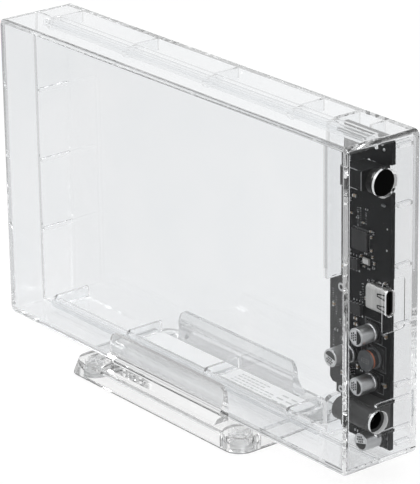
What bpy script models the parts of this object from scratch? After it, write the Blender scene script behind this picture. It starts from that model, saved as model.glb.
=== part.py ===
"""Clear desktop enclosure for one 3.5 inch disk drive, standing on edge in a clear cradle.

The enclosure is two clear mouldings, a base shell and a cover that slides off it.
A circuit board behind the connector end carries the sockets, the push switch and the power parts.
All lengths are metres, +Z is up, +X points to the connector end and -Y to the cover's face.
"""

import math

import bmesh
import bpy
from mathutils import Matrix, Vector

MM = 0.001

# Enclosure: outer size, wall and the gap that separate pieces keep between them.
LENGTH = 190.0 * MM
DEPTH = 30.5 * MM
HEIGHT = 113.4 * MM
WALL = 2.0 * MM
GAP = 0.3 * MM
CORNER_RADIUS = 2.3 * MM
RIM_BEVEL = 0.5 * MM
SEAM = DEPTH / 2
OVERCUT = 1.0 * MM

# The end wall is a full plate of the base shell, and the cover stops against it.
END_WALL = 2.0 * MM
END_LEDGE = 0.2 * MM
INNER_END = LENGTH - END_WALL
COVER_END = INNER_END - END_LEDGE - GAP
CEILING = HEIGHT - WALL
BACK = DEPTH - WALL

# Sliding rail: a lip of the base shell under the cover's wall, with a groove for the cover's rib.
LIP_FRONT = 12.2 * MM
CEILING_LIP_BACK = 18.8 * MM
FLOOR_LIP_BACK = 16.4 * MM
LIP_THICKNESS = 1.9 * MM
LIP_START = 10.0 * MM
CEILING_LIP_END = INNER_END - 5.0 * MM
GROOVE_MIDDLE = 13.5 * MM
GROOVE_DEPTH = 1.2 * MM
RAIL_WIDTH = 0.9 * MM

# Ribs inside the base shell.
RIB_THICKNESS = 1.2 * MM
RIB_HEIGHT = 4.1 * MM
RIB_NOSE_FRONT = 13.2 * MM
RIB_NOSE_LENGTH = 1.9 * MM
RIB_NOSE_ROOT = 1.8 * MM
RIB_FIRST = 11.3 * MM
RIB_PITCH = 44.55 * MM
RIB_COUNT = 4
RIDGE_HEIGHT = 1.2 * MM
RIDGE_PITCH = 27.0 * MM

# Partition between the drive bay and the circuit board.
PARTITION_LEFT = 161.5 * MM
PARTITION_THICKNESS = 2.0 * MM
PARTITION_FRONT = 15.4 * MM
PARTITION_GAP_LOW = 15.5 * MM
PARTITION_GAP_HIGH = 58.2 * MM

# Circuit board, standing parallel to the cover's face.
BOARD_FRONT = 20.7 * MM
BOARD_THICKNESS = 1.6 * MM
BOARD_BACK = BOARD_FRONT + BOARD_THICKNESS
BOARD_RIGHT = 186.5 * MM
BOARD_NARROW_LEFT = 164.4 * MM
BOARD_WIDE_LEFT = 158.8 * MM
BOARD_TOP = 110.5 * MM
BOARD_BOTTOM = 2.7 * MM
BOARD_WIDE_TOP = 57.0 * MM
BOARD_WIDE_BOTTOM = 20.6 * MM
BOARD_CHAMFER = 1.4 * MM
BOARD_STEP_WIDTH = 3.3 * MM
BOARD_STEP_BOTTOM = 16.2 * MM
BOARD_CORNER_CHAMFER = 2.4 * MM
# Notch in the board's right edge that clears the button, measured from the switch's axis.
BOARD_NOTCH_DEPTH = 2.9 * MM
BOARD_NOTCH_BELOW = 5.4 * MM
BOARD_NOTCH_ABOVE = 4.2 * MM
# Holes in the board, each as x, z and radius in millimetres.
BOARD_HOLES = ((164.4, 54.3, 0.75), (164.4, 17.7, 0.75), (182.6, 107.0, 0.5), (175.6, 101.4, 0.5))
MOUNT_PLANE = BOARD_FRONT - GAP

# Ribs on the end wall, short ones behind the board and long ones beside the jack, and the USB recess.
END_RIB_HEIGHTS = (5.0 * MM, 26.0 * MM, 47.0 * MM, 67.8 * MM, 88.8 * MM, 109.0 * MM)
SHORT_RIB_REACH = 2.0 * MM
LONG_RIB_REACH = 1.2 * MM
LONG_RIB_SPACING = 5.2 * MM
LONG_RIB_FRONT = 13.7 * MM
USB_RECESS_Z = 55.6 * MM
USB_RECESS_HALF = 9.2 * MM
USB_RECESS_FRONT = 14.8 * MM
USB_RECESS_BACK = 24.8 * MM
USB_RECESS_DEPTH = 0.5 * MM
USB_RECESS_RADIUS = 1.6 * MM

# Ribs that hold the board's upper and lower edges.
HOLDER_X = 175.2 * MM

# Push switch and its button, on one axis along X.
SWITCH_Y = 15.8 * MM
SWITCH_Z = 98.5 * MM
BUTTON_RADIUS = 4.6 * MM
BUTTON_HOLE_RADIUS = 5.0 * MM
BUTTON_FACE = 189.4 * MM
BUTTON_BACK = 184.6 * MM
BUTTON_TRAVEL = 1.5 * MM
STEM_RADIUS = 1.5 * MM
SWITCH_LEFT = 174.5 * MM
SWITCH_RIGHT = BUTTON_BACK - BUTTON_TRAVEL - GAP
SWITCH_HALF = 3.4 * MM
SWITCH_FRONT = SWITCH_Y - 4.5 * MM
STEM_BORE_DEPTH = 2.6 * MM
BUTTON_ROUND = 0.5 * MM
BUTTON_DISH = 0.25 * MM

# USB-C receptacle.
USB_Z = 56.3 * MM
USB_OPENING_WIDTH = 8.34 * MM
USB_OPENING_HEIGHT = 2.56 * MM
USB_SHEET = 0.3 * MM
USB_Y = MOUNT_PLANE - USB_OPENING_HEIGHT / 2 - USB_SHEET
USB_LEFT = 178.2 * MM
USB_RIGHT = LENGTH - USB_RECESS_DEPTH - 0.5 * MM
USB_HOLE_MARGIN = 0.35 * MM
USB_OUTER_RADIUS = 1.5 * MM
USB_INNER_RADIUS = 1.25 * MM
USB_BACK_PLATE = 1.0 * MM
USB_TONGUE_HALF_WIDTH = 3.2 * MM
USB_TONGUE_HALF_THICKNESS = 0.35 * MM
USB_TONGUE_SETBACK = 0.8 * MM
USB_CARRIER_LENGTH = 3.0 * MM

# Tapered slot round each spring tab in the USB shell's front face.
USB_SPRING_LENGTH = 4.4 * MM
USB_SPRING_SPACING = 2.0 * MM
USB_SPRING_HALF_WIDE = 1.0 * MM
USB_SPRING_HALF_NARROW = 0.45 * MM
USB_SPRING_HALF_POINT = 0.1 * MM
USB_SPRING_SETBACK = 0.6 * MM
USB_SPRING_BAR = 0.9 * MM
USB_SPRING_SLOT = 0.45 * MM

# DC power jack.
JACK_Y = 13.8 * MM
JACK_Z = 15.8 * MM
JACK_RADIUS = 4.0 * MM
JACK_BORE_RADIUS = 3.15 * MM
JACK_PIN_RADIUS = 1.05 * MM
JACK_LEFT = 172.2 * MM
JACK_RIGHT = INNER_END - GAP
JACK_BORE_DEPTH = 9.5 * MM
JACK_BLOCK_HALF = 4.5 * MM
JACK_BLOCK_INSETS = (0.8 * MM, 0.6 * MM)
JACK_PIN_SETBACK = 1.0 * MM
JACK_PIN_ROUND = 0.25 * MM

# Drive connector on the back of the board: power and signal tongues in one housing.
SATA_LEFT = 160.4 * MM
SATA_RIGHT = 167.0 * MM
SATA_LOW = PARTITION_GAP_LOW + 0.4 * MM
SATA_HIGH = PARTITION_GAP_HIGH - 0.4 * MM
SATA_FRONT = BOARD_BACK + GAP
SATA_BACK = BACK - 0.5 * MM

# Surface-mount electrolytic capacitors: can radius and height, base side and height.
CAN_RADIUS = 3.15 * MM
CAN_HEIGHT = 7.0 * MM
CAN_BASE_SIDE = 6.6 * MM
CAN_BASE_HEIGHT = 0.8 * MM
CAPACITOR_PLACES = {
    "capacitor_top": (179.0 * MM, 43.2 * MM),
    "capacitor_left": (168.4 * MM, 32.4 * MM),
    "capacitor_middle": (179.1 * MM, 25.6 * MM),
    "capacitor_bottom": (181.6 * MM, 6.6 * MM),
}

# Drum inductor.
INDUCTOR_X = 180.2 * MM
INDUCTOR_Z = 34.5 * MM
INDUCTOR_BASE_SIDE = 8.4 * MM
DRUM_RADIUS = 3.7 * MM
DRUM_HEIGHT = 4.4 * MM

# Cradle: a low tray with a fence on each side of the enclosure, and a foot pad in each corner.
ENCLOSURE_LIFT = 6.0 * MM
CRADLE_SHIFT = 1.9 * MM
TRAY_LENGTH = 97.0 * MM
TRAY_WIDTH = 50.2 * MM
TRAY_DRAFT = 1.4 * MM
TRAY_BOTTOM = 0.5 * MM
TRAY_TOP = ENCLOSURE_LIFT - GAP
TRAY_WALL = 1.8 * MM
FOOT_RADIUS = 6.3 * MM
FOOT_RECESS_RADIUS = 4.2 * MM
FOOT_RECESS_TOP = 4.1 * MM
CROSS_THICKNESS = 1.0 * MM
CROSS_BOTTOM = 2.2 * MM
PAD_RADIUS = 3.9 * MM
PAD_HEIGHT = 1.7 * MM
FENCE_LENGTH = 64.0 * MM
FENCE_TOP = ENCLOSURE_LIFT + 13.0 * MM
FENCE_THICKNESS = 2.0 * MM
FENCE_FLARE = 4.2 * MM
FENCE_FLARE_HEIGHT = 10.0 * MM
FENCE_CORNER_RADIUS = 4.0 * MM
FENCE_LEAD_IN = 0.7 * MM
FENCE_LEAD_IN_HEIGHT = 4.5 * MM

# Rating label on the floor of the drive bay.
LABEL_THICKNESS = 0.2 * MM

CURVE_SEGMENTS = 40


def clear_scene():
    """Remove every object that is already in the file."""
    for item in list(bpy.data.objects):
        bpy.data.objects.remove(item, do_unlink=True)


def make_material(name, colour, roughness, metallic=0.0, transmission=0.0):
    """A Principled material with the part's own colour."""
    material = bpy.data.materials.new(name)
    material.use_nodes = True
    shader = material.node_tree.nodes["Principled BSDF"]
    shader.inputs["Base Color"].default_value = (*colour, 1.0)
    shader.inputs["Roughness"].default_value = roughness
    shader.inputs["Metallic"].default_value = metallic
    shader.inputs["Transmission Weight"].default_value = transmission
    material.diffuse_color = (*colour, 1.0)
    return material


def make_empty(name, location):
    """A frame that a group of pieces is parented to."""
    frame = bpy.data.objects.new(name, None)
    frame.location = location
    bpy.context.scene.collection.objects.link(frame)
    return frame


def make_object(name, mesh_builder):
    """Turn a bmesh into an object of the scene."""
    bmesh.ops.recalc_face_normals(mesh_builder, faces=mesh_builder.faces)
    mesh = bpy.data.meshes.new(name)
    mesh_builder.to_mesh(mesh)
    mesh_builder.free()
    item = bpy.data.objects.new(name, mesh)
    bpy.context.scene.collection.objects.link(item)
    return item


def block(low, high, bevel=0.0, segments=1):
    """A box between two corners, with all its edges bevelled if asked."""
    low = Vector(low)
    high = Vector(high)
    builder = bmesh.new()
    bmesh.ops.create_cube(builder, size=1.0)
    size = high - low
    bmesh.ops.scale(builder, vec=size, verts=builder.verts)
    bmesh.ops.translate(builder, vec=(low + high) / 2, verts=builder.verts)
    if bevel > 0:
        bmesh.ops.bevel(
            builder, geom=list(builder.edges), offset=bevel, segments=segments, profile=0.5, affect="EDGES"
        )
    return make_object("block", builder)


def point_on(axis, first, second, along):
    """A point from two coordinates across an axis and one along it."""
    if axis == "X":
        return Vector((along, first, second))
    if axis == "Y":
        return Vector((first, along, second))
    return Vector((first, second, along))


def prism(outline, axis, low, high, rim=0.0):
    """A straight extrusion of an outline along an axis, with bevelled rims if asked."""
    builder = bmesh.new()
    bottom = [builder.verts.new(point_on(axis, first, second, low)) for first, second in outline]
    face = builder.faces.new(bottom)
    swept = bmesh.ops.extrude_face_region(builder, geom=[face])
    moved = [item for item in swept["geom"] if isinstance(item, bmesh.types.BMVert)]
    direction = point_on(axis, 0.0, 0.0, high - low)
    bmesh.ops.translate(builder, vec=direction, verts=moved)
    if rim > 0:
        caps = [item for item in builder.faces if len(item.verts) == len(outline) and len(outline) > 4]
        edges = {edge for cap in caps for edge in cap.edges}
        bmesh.ops.bevel(builder, geom=list(edges), offset=rim, segments=2, profile=0.5, affect="EDGES")
    return make_object("prism", builder)


def rounded_rectangle(low, high, radius, segments=6):
    """Outline points of a rectangle with round corners, counter-clockwise."""
    centres = [
        (high[0] - radius, high[1] - radius, 0.0),
        (low[0] + radius, high[1] - radius, 0.5 * math.pi),
        (low[0] + radius, low[1] + radius, math.pi),
        (high[0] - radius, low[1] + radius, 1.5 * math.pi),
    ]
    outline = []
    for centre_a, centre_b, start in centres:
        for step in range(segments + 1):
            angle = start + 0.5 * math.pi * step / segments
            outline.append((centre_a + radius * math.cos(angle), centre_b + radius * math.sin(angle)))
    return outline


def circle(centre_a, centre_b, radius, segments=CURVE_SEGMENTS):
    """Outline points of a circle."""
    outline = []
    for step in range(segments):
        angle = 2 * math.pi * step / segments
        outline.append((centre_a + radius * math.cos(angle), centre_b + radius * math.sin(angle)))
    return outline


def cylinder(axis, centre_a, centre_b, radius, low, high, rim=0.0):
    """A round bar along an axis."""
    return prism(circle(centre_a, centre_b, radius), axis, low, high, rim)


def turned(profile, centre, axis_matrix, segments=CURVE_SEGMENTS):
    """A solid of revolution from (radius, height) points, its axis turned by a matrix."""
    builder = bmesh.new()
    rings = []
    for radius, height in profile:
        if radius == 0.0:
            rings.append([builder.verts.new((0.0, 0.0, height))])
            continue
        ring = []
        for step in range(segments):
            angle = 2 * math.pi * step / segments
            ring.append(builder.verts.new((radius * math.cos(angle), radius * math.sin(angle), height)))
        rings.append(ring)
    for lower, upper in zip(rings, rings[1:]):
        for step in range(segments):
            after = (step + 1) % segments
            if len(lower) == 1:
                builder.faces.new((lower[0], upper[after], upper[step]))
            elif len(upper) == 1:
                builder.faces.new((lower[step], lower[after], upper[0]))
            else:
                builder.faces.new((lower[step], lower[after], upper[after], upper[step]))
    bmesh.ops.transform(builder, matrix=Matrix.Translation(centre) @ axis_matrix, verts=builder.verts)
    return make_object("turned", builder)


def combine(target, tool, operation):
    """Join, cut or intersect a solid with another one, which is used up."""
    modifier = target.modifiers.new("combine", "BOOLEAN")
    modifier.operation = operation
    modifier.solver = "EXACT"
    modifier.object = tool
    depsgraph = bpy.context.evaluated_depsgraph_get()
    result = bpy.data.meshes.new_from_object(target.evaluated_get(depsgraph))
    target.modifiers.clear()
    target.data = result
    bpy.data.objects.remove(tool, do_unlink=True)
    return target


def join(target, *tools):
    """Union of a solid with others."""
    for tool in tools:
        combine(target, tool, "UNION")
    return target


def cut(target, *tools):
    """A solid with others taken out of it."""
    for tool in tools:
        combine(target, tool, "DIFFERENCE")
    return target


def keep(target, tool):
    """The part of a solid that lies inside another."""
    return combine(target, tool, "INTERSECT")


def finish(item, name, material, parent, smooth=False):
    """Name a piece, give it its material and hang it on its frame."""
    item.name = name
    item.data.name = name
    item.data.materials.clear()
    item.data.materials.append(material)
    for polygon in item.data.polygons:
        polygon.material_index = 0
    item.parent = parent
    if smooth:
        item.data.shade_smooth()
        item.data.set_sharp_from_angle(angle=math.radians(35))
    return item


# ---------------------------------------------------------------- enclosure shells


def enclosure_outline(inset, radius):
    """The X-Z outline of the enclosure, moved in by an inset."""
    return rounded_rectangle((inset, inset), (LENGTH - inset, HEIGHT - inset), radius)


def enclosure_block():
    """The full outer shape of the closed enclosure."""
    return prism(enclosure_outline(0.0, CORNER_RADIUS), "Y", 0.0, DEPTH, RIM_BEVEL)


def cavity(front, back, right):
    """The hollow of the enclosure between two depths, up to a right-hand limit."""
    outline = rounded_rectangle((WALL, WALL), (right, CEILING), CORNER_RADIUS - WALL, 3)
    return prism(outline, "Y", front, back)


def mirror_pair(low, high):
    """A height range at the floor and its mirror image at the ceiling."""
    return [(low, high), (HEIGHT - high, HEIGHT - low)]


def bay_rib(position, upward):
    """A thin rib across the base shell's floor or ceiling, with a curved nose that stands on the lip."""
    foot = SEAM + GAP / 2
    back = BACK + WALL / 2
    outline = [(foot, RIB_NOSE_ROOT), (foot, -WALL / 2), (back, -WALL / 2), (back, RIB_HEIGHT)]
    steps = 5
    rise = RIB_HEIGHT - RIB_NOSE_ROOT - LIP_THICKNESS / 4
    for step in range(steps + 1):
        angle = 0.5 * math.pi * step / steps
        across = RIB_NOSE_FRONT + RIB_NOSE_LENGTH * (1 - math.sin(angle))
        outline.append((across, RIB_HEIGHT - rise * (1 - math.cos(angle))))
    outline.append((RIB_NOSE_FRONT, RIB_NOSE_ROOT))
    if upward:
        section = [(across, WALL + height) for across, height in outline]
    else:
        section = [(across, CEILING - height) for across, height in reversed(outline)]
    return prism(section, "X", position - RIB_THICKNESS / 2, position + RIB_THICKNESS / 2)


def seam_lip(high_side):
    """The lip that the cover slides on, grooved for the cover's rib."""
    if high_side:
        outer = CEILING - GAP
        inner = outer - LIP_THICKNESS
        root = (inner, CEILING + WALL / 2)
        groove = (outer - GROOVE_DEPTH, outer + OVERCUT)
        back = CEILING_LIP_BACK
        right = CEILING_LIP_END
    else:
        outer = WALL + GAP
        inner = outer + LIP_THICKNESS
        root = (WALL / 2, inner)
        groove = (outer - OVERCUT, outer + GROOVE_DEPTH)
        back = FLOOR_LIP_BACK
        right = PARTITION_LEFT + PARTITION_THICKNESS / 2
    lip = block((LIP_START, LIP_FRONT, min(outer, inner)), (right, back, max(outer, inner)))
    foot = block((LIP_START, SEAM + GAP / 2, root[0]), (right, back, root[1]))
    half = RAIL_WIDTH / 2 + GAP
    slot_low = (LIP_START - OVERCUT, GROOVE_MIDDLE - half, groove[0])
    slot_high = (INNER_END + OVERCUT, GROOVE_MIDDLE + half, groove[1])
    return join(cut(lip, block(slot_low, slot_high)), foot)


def partition_plates():
    """The upper and lower plates that part the drive bay from the board."""
    left = PARTITION_LEFT
    right = PARTITION_LEFT + PARTITION_THICKNESS
    back = BACK + WALL / 2
    upper = block((left, PARTITION_FRONT, PARTITION_GAP_HIGH), (right, back, CEILING + WALL / 2))
    radius = 3.0 * MM
    outline = [(back, WALL / 2), (back, PARTITION_GAP_LOW)]
    for step in range(5):
        angle = 0.5 * math.pi * (1 + step / 4)
        outline.append(
            (
                PARTITION_FRONT + radius + radius * math.cos(angle),
                PARTITION_GAP_LOW - radius + radius * math.sin(angle),
            )
        )
    outline.append((PARTITION_FRONT, WALL / 2))
    lower = prism(outline, "X", left, right)
    return [upper, lower]


def end_wall_ribs():
    """Short ribs behind the board and two long ones beside the jack."""
    pieces = []
    depth = INNER_END - LONG_RIB_REACH
    root = INNER_END + END_WALL / 2
    back = BACK + WALL / 2
    half = RIB_THICKNESS / 2
    for height in END_RIB_HEIGHTS:
        low = (INNER_END - SHORT_RIB_REACH, BOARD_BACK + GAP, height - half)
        pieces.append(block(low, (root, back, height + half)))
    for middle in (JACK_Z - LONG_RIB_SPACING, JACK_Z + LONG_RIB_SPACING):
        outline = rounded_rectangle((LONG_RIB_FRONT, middle - half), (back, middle + half), 0.9 * half, 4)
        pieces.append(prism(outline, "X", depth, root))
    return pieces


def board_holders():
    """A rib at the ceiling and one at the floor that back the board's edges."""
    left = HOLDER_X - RIB_THICKNESS / 2
    right = HOLDER_X + RIB_THICKNESS / 2
    front = BOARD_BACK + GAP
    back = BACK + WALL / 2
    upper = block((left, front, CEILING - RIB_HEIGHT), (right, back, CEILING + WALL / 2))
    lower = block((left, front, WALL / 2), (right, back, WALL + RIB_HEIGHT))
    return [upper, lower]


def socket_holes():
    """Cutters for the switch, jack and USB openings in the end wall, and the recess round the USB."""
    low = INNER_END - OVERCUT
    high = LENGTH + OVERCUT
    half_width = USB_OPENING_WIDTH / 2 + USB_SHEET + USB_HOLE_MARGIN
    half_height = USB_OPENING_HEIGHT / 2 + USB_SHEET + USB_HOLE_MARGIN
    slot = rounded_rectangle(
        (USB_Y - half_height, USB_Z - half_width), (USB_Y + half_height, USB_Z + half_width), 0.96 * half_height
    )
    recess = rounded_rectangle(
        (USB_RECESS_FRONT, USB_RECESS_Z - USB_RECESS_HALF),
        (USB_RECESS_BACK, USB_RECESS_Z + USB_RECESS_HALF),
        USB_RECESS_RADIUS,
    )
    return [
        prism(recess, "X", LENGTH - USB_RECESS_DEPTH, high),
        cylinder("X", SWITCH_Y, SWITCH_Z, BUTTON_HOLE_RADIUS, low, high),
        cylinder("X", JACK_Y, JACK_Z, JACK_RADIUS, low, high),
        prism(slot, "X", low, high),
    ]


def build_base_shell(material, parent):
    """Back half of the enclosure with the whole end wall, ribs, rails and partition."""
    shell = enclosure_block()
    cut(shell, block((-OVERCUT, -OVERCUT, -OVERCUT), (INNER_END - END_LEDGE, SEAM + GAP / 2, HEIGHT + OVERCUT)))
    cut(shell, cavity(-OVERCUT, BACK, INNER_END))
    for number in range(RIB_COUNT):
        position = RIB_FIRST + number * RIB_PITCH
        join(shell, bay_rib(position, True), bay_rib(position, False))
    for number in (-1, 0, 1):
        middle = HEIGHT / 2 + number * RIDGE_PITCH
        low = (WALL / 2, SEAM + GAP / 2, middle - RIB_THICKNESS / 2)
        high = (WALL + RIDGE_HEIGHT, BACK + WALL / 2, middle + RIB_THICKNESS / 2)
        join(shell, block(low, high))
    join(shell, seam_lip(True), seam_lip(False))
    join(shell, *partition_plates())
    join(shell, *end_wall_ribs())
    join(shell, *board_holders())
    cut(shell, *socket_holes())
    return finish(shell, "base_shell", material, parent)


def build_sliding_cover(material, parent):
    """Front half of the enclosure, open at its connector end, with a rib in each rail groove."""
    cover = enclosure_block()
    keep(cover, block((-OVERCUT, -OVERCUT, -OVERCUT), (COVER_END, SEAM - GAP / 2, HEIGHT + OVERCUT)))
    cut(cover, cavity(WALL, DEPTH + OVERCUT, LENGTH + OVERCUT))
    half = RAIL_WIDTH / 2
    for low, high in mirror_pair(WALL / 2, WALL + GROOVE_DEPTH):
        rail = block((LIP_START + GAP, GROOVE_MIDDLE - half, low), (COVER_END, GROOVE_MIDDLE + half, high))
        join(cover, rail)
    return finish(cover, "sliding_cover", material, parent)


def build_label(material, parent):
    """Blank rating label on the floor between two ribs."""
    margin = RIB_THICKNESS / 2 + 1.5 * MM
    half = LABEL_THICKNESS / 2
    middle = WALL + GAP + half
    pieces = []
    left = RIB_FIRST + RIB_PITCH + margin
    right = RIB_FIRST + 2 * RIB_PITCH - margin
    pieces.append(("label_left", left, right))
    pieces.append(("rating_label", right + 2 * margin, right + RIB_PITCH))
    for name, start, end in pieces:
        outline = rounded_rectangle((start, FLOOR_LIP_BACK + GAP), (end, BACK - 0.8 * MM), 1.0 * MM, 3)
        finish(prism(outline, "Z", middle - half, middle + half), name, material, parent)


# ---------------------------------------------------------------- circuit board and its parts


def build_board(material, parent):
    """The circuit board: a narrow strip with a wider foot for the drive connector."""
    notch_left = BOARD_RIGHT - BOARD_NOTCH_DEPTH
    notch_low = SWITCH_Z - BOARD_NOTCH_BELOW
    notch_high = SWITCH_Z + BOARD_NOTCH_ABOVE
    step_right = BOARD_WIDE_LEFT + BOARD_STEP_WIDTH
    step_top = BOARD_WIDE_BOTTOM - BOARD_CHAMFER
    outline = [
        (BOARD_RIGHT, BOARD_BOTTOM),
        (BOARD_RIGHT, notch_low),
        (notch_left, notch_low),
        (notch_left, notch_high),
        (BOARD_RIGHT, notch_high),
        (BOARD_RIGHT, BOARD_TOP),
        (BOARD_NARROW_LEFT, BOARD_TOP),
        (BOARD_NARROW_LEFT, BOARD_WIDE_TOP),
        (BOARD_WIDE_LEFT, BOARD_WIDE_TOP),
        (BOARD_WIDE_LEFT, BOARD_WIDE_BOTTOM),
        (BOARD_WIDE_LEFT + BOARD_CHAMFER, step_top),
        (step_right, step_top),
        (step_right, BOARD_STEP_BOTTOM),
        (BOARD_NARROW_LEFT, BOARD_STEP_BOTTOM),
        (BOARD_NARROW_LEFT, BOARD_BOTTOM + BOARD_CORNER_CHAMFER),
        (BOARD_NARROW_LEFT + BOARD_CORNER_CHAMFER, BOARD_BOTTOM),
    ]
    board = prism(outline, "Y", BOARD_FRONT, BOARD_BACK)
    for x, z, radius in BOARD_HOLES:
        hole = cylinder("Y", x * MM, z * MM, radius * MM, BOARD_FRONT - OVERCUT, BOARD_BACK + OVERCUT)
        cut(board, hole)
    return finish(board, "main_board", material, parent)


def spring_slot(middle):
    """Cutter for the tapered slot round one spring tab in the front of the USB shell."""
    front = USB_Y - USB_OPENING_HEIGHT / 2 - USB_SHEET
    low = front - OVERCUT
    high = front + USB_SHEET + GAP / 3
    back = USB_RIGHT - USB_SPRING_LENGTH
    tip = USB_RIGHT - USB_SPRING_SETBACK
    slot_outline = [
        (back, middle - USB_SPRING_HALF_NARROW),
        (tip, middle - USB_SPRING_HALF_WIDE),
        (tip, middle + USB_SPRING_HALF_WIDE),
        (back, middle + USB_SPRING_HALF_NARROW),
    ]
    start = back - OVERCUT
    end = tip - USB_SPRING_BAR
    tab_half = USB_SPRING_HALF_WIDE - USB_SPRING_SLOT
    tab_outline = [
        (start, middle - USB_SPRING_HALF_POINT),
        (end, middle - tab_half),
        (end, middle + tab_half),
        (start, middle + USB_SPRING_HALF_POINT),
    ]
    slot = prism(slot_outline, "Y", low, high)
    return cut(slot, prism(tab_outline, "Y", low - OVERCUT, high + OVERCUT))


def build_usb(shell_material, tongue_material, parent):
    """USB-C receptacle: drawn steel shell and the contact tongue inside it."""
    half_width = USB_OPENING_WIDTH / 2
    half_height = USB_OPENING_HEIGHT / 2
    outer = rounded_rectangle(
        (USB_Y - half_height - USB_SHEET, USB_Z - half_width - USB_SHEET),
        (USB_Y + half_height + USB_SHEET, USB_Z + half_width + USB_SHEET),
        USB_OUTER_RADIUS,
    )
    inner = rounded_rectangle(
        (USB_Y - half_height, USB_Z - half_width),
        (USB_Y + half_height, USB_Z + half_width),
        USB_INNER_RADIUS,
    )
    shell = prism(outer, "X", USB_LEFT, USB_RIGHT)
    cut(shell, prism(inner, "X", USB_LEFT + USB_BACK_PLATE, USB_RIGHT + OVERCUT))
    for side in (-1, 1):
        cut(shell, spring_slot(USB_Z + side * USB_SPRING_SPACING))
    finish(shell, "usb_c_shell", shell_material, parent, smooth=True)
    left = USB_LEFT + USB_BACK_PLATE + GAP
    low = USB_Z - USB_TONGUE_HALF_WIDTH
    high = USB_Z + USB_TONGUE_HALF_WIDTH
    carrier = block(
        (left, USB_Y - half_height + GAP, low), (left + USB_CARRIER_LENGTH, USB_Y + half_height - GAP, high)
    )
    tongue = block(
        (left + USB_CARRIER_LENGTH / 2, USB_Y - USB_TONGUE_HALF_THICKNESS, low),
        (USB_RIGHT - USB_TONGUE_SETBACK, USB_Y + USB_TONGUE_HALF_THICKNESS, high),
    )
    finish(join(carrier, tongue), "usb_c_tongue", tongue_material, parent)


def build_jack(body_material, pin_material, parent):
    """Barrel jack: round socket on a block that stands on the board, with its centre pin."""
    body = cylinder("X", JACK_Y, JACK_Z, JACK_RADIUS, JACK_LEFT, JACK_RIGHT)
    left_inset, right_inset = JACK_BLOCK_INSETS
    low = (JACK_LEFT + left_inset, JACK_Y, JACK_Z - JACK_BLOCK_HALF)
    join(body, block(low, (JACK_RIGHT - right_inset, MOUNT_PLANE, JACK_Z + JACK_BLOCK_HALF)))
    bore_start = JACK_RIGHT - JACK_BORE_DEPTH
    cut(body, cylinder("X", JACK_Y, JACK_Z, JACK_BORE_RADIUS, bore_start, JACK_RIGHT + OVERCUT))
    finish(body, "dc_jack_body", body_material, parent, smooth=True)
    tip = JACK_RIGHT - JACK_PIN_SETBACK
    pin = cylinder("X", JACK_Y, JACK_Z, JACK_PIN_RADIUS, bore_start + GAP, tip, JACK_PIN_ROUND)
    finish(pin, "dc_jack_pin", pin_material, parent, smooth=True)


def build_switch(body_material, button_material, parent):
    """Push switch body with a bore for the stem, and the round button on the stem."""
    low = (SWITCH_LEFT, SWITCH_FRONT, SWITCH_Z - SWITCH_HALF)
    body = block(low, (SWITCH_RIGHT, MOUNT_PLANE, SWITCH_Z + SWITCH_HALF))
    bore_start = SWITCH_RIGHT - STEM_BORE_DEPTH
    cut(body, cylinder("X", SWITCH_Y, SWITCH_Z, STEM_RADIUS + GAP, bore_start, SWITCH_RIGHT + OVERCUT))
    finish(body, "switch_body", body_material, parent)
    stem_end = bore_start + BUTTON_TRAVEL + GAP
    face = BUTTON_FACE - BUTTON_BACK
    profile = [
        (0.0, stem_end - BUTTON_BACK),
        (STEM_RADIUS, stem_end - BUTTON_BACK),
        (STEM_RADIUS, 0.0),
        (BUTTON_RADIUS, 0.0),
        (BUTTON_RADIUS, face - BUTTON_ROUND),
        (BUTTON_RADIUS - 0.3 * BUTTON_ROUND, face - 0.3 * BUTTON_ROUND),
        (BUTTON_RADIUS - BUTTON_ROUND, face),
        (0.0, face - BUTTON_DISH),
    ]
    button = turned(profile, (0.0, 0.0, 0.0), Matrix.Rotation(0.5 * math.pi, 4, "Y"))
    button.location = (BUTTON_BACK, SWITCH_Y, SWITCH_Z)
    finish(button, "power_button", button_material, parent, smooth=True)


def build_sata(body_material, contact_material, parent):
    """Drive connector on the back of the board, with its contact strip on the tongue."""
    body = block((SATA_LEFT, SATA_FRONT, SATA_LOW), (SATA_RIGHT, SATA_BACK, SATA_HIGH))
    mouth_depth = 4.6 * MM
    inset = 1.2 * MM
    mouth = block(
        (SATA_LEFT - OVERCUT, SATA_FRONT + 0.9 * MM, SATA_LOW + inset),
        (SATA_LEFT + mouth_depth, SATA_BACK - 0.9 * MM, SATA_HIGH - inset),
    )
    cut(body, mouth)
    middle = (SATA_FRONT + SATA_BACK) / 2
    split = SATA_LOW + 13.5 * MM
    tongues = [(SATA_LOW + inset + 1.2 * MM, split), (split + 2.4 * MM, SATA_HIGH - inset - 1.2 * MM)]
    for low, high in tongues:
        start = (SATA_LEFT + 0.6 * MM, middle - 0.6 * MM, low)
        join(body, block(start, (SATA_LEFT + mouth_depth + 0.5 * MM, middle + 0.6 * MM, high)))
    finish(body, "sata_receptacle", body_material, parent)
    names = ("sata_signal_contacts", "sata_power_contacts")
    for name, count, (low, high) in zip(names, (7, 15), tongues):
        pitch = 1.27 * MM
        centre = (low + high) / 2
        back = SATA_LEFT + mouth_depth - GAP
        face = middle + 0.6 * MM + GAP
        span = pitch * (count - 1) / 2
        strip = block(
            (back - 0.5 * MM, face, centre - span - 0.3 * MM),
            (back, face + 0.25 * MM, centre + span + 0.3 * MM),
        )
        for number in range(count):
            place = centre - span + number * pitch
            blade = block(
                (SATA_LEFT + 1.2 * MM, face, place - 0.3 * MM), (back - 0.2 * MM, face + 0.25 * MM, place + 0.3 * MM)
            )
            join(strip, blade)
        finish(strip, name, contact_material, parent)


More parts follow.
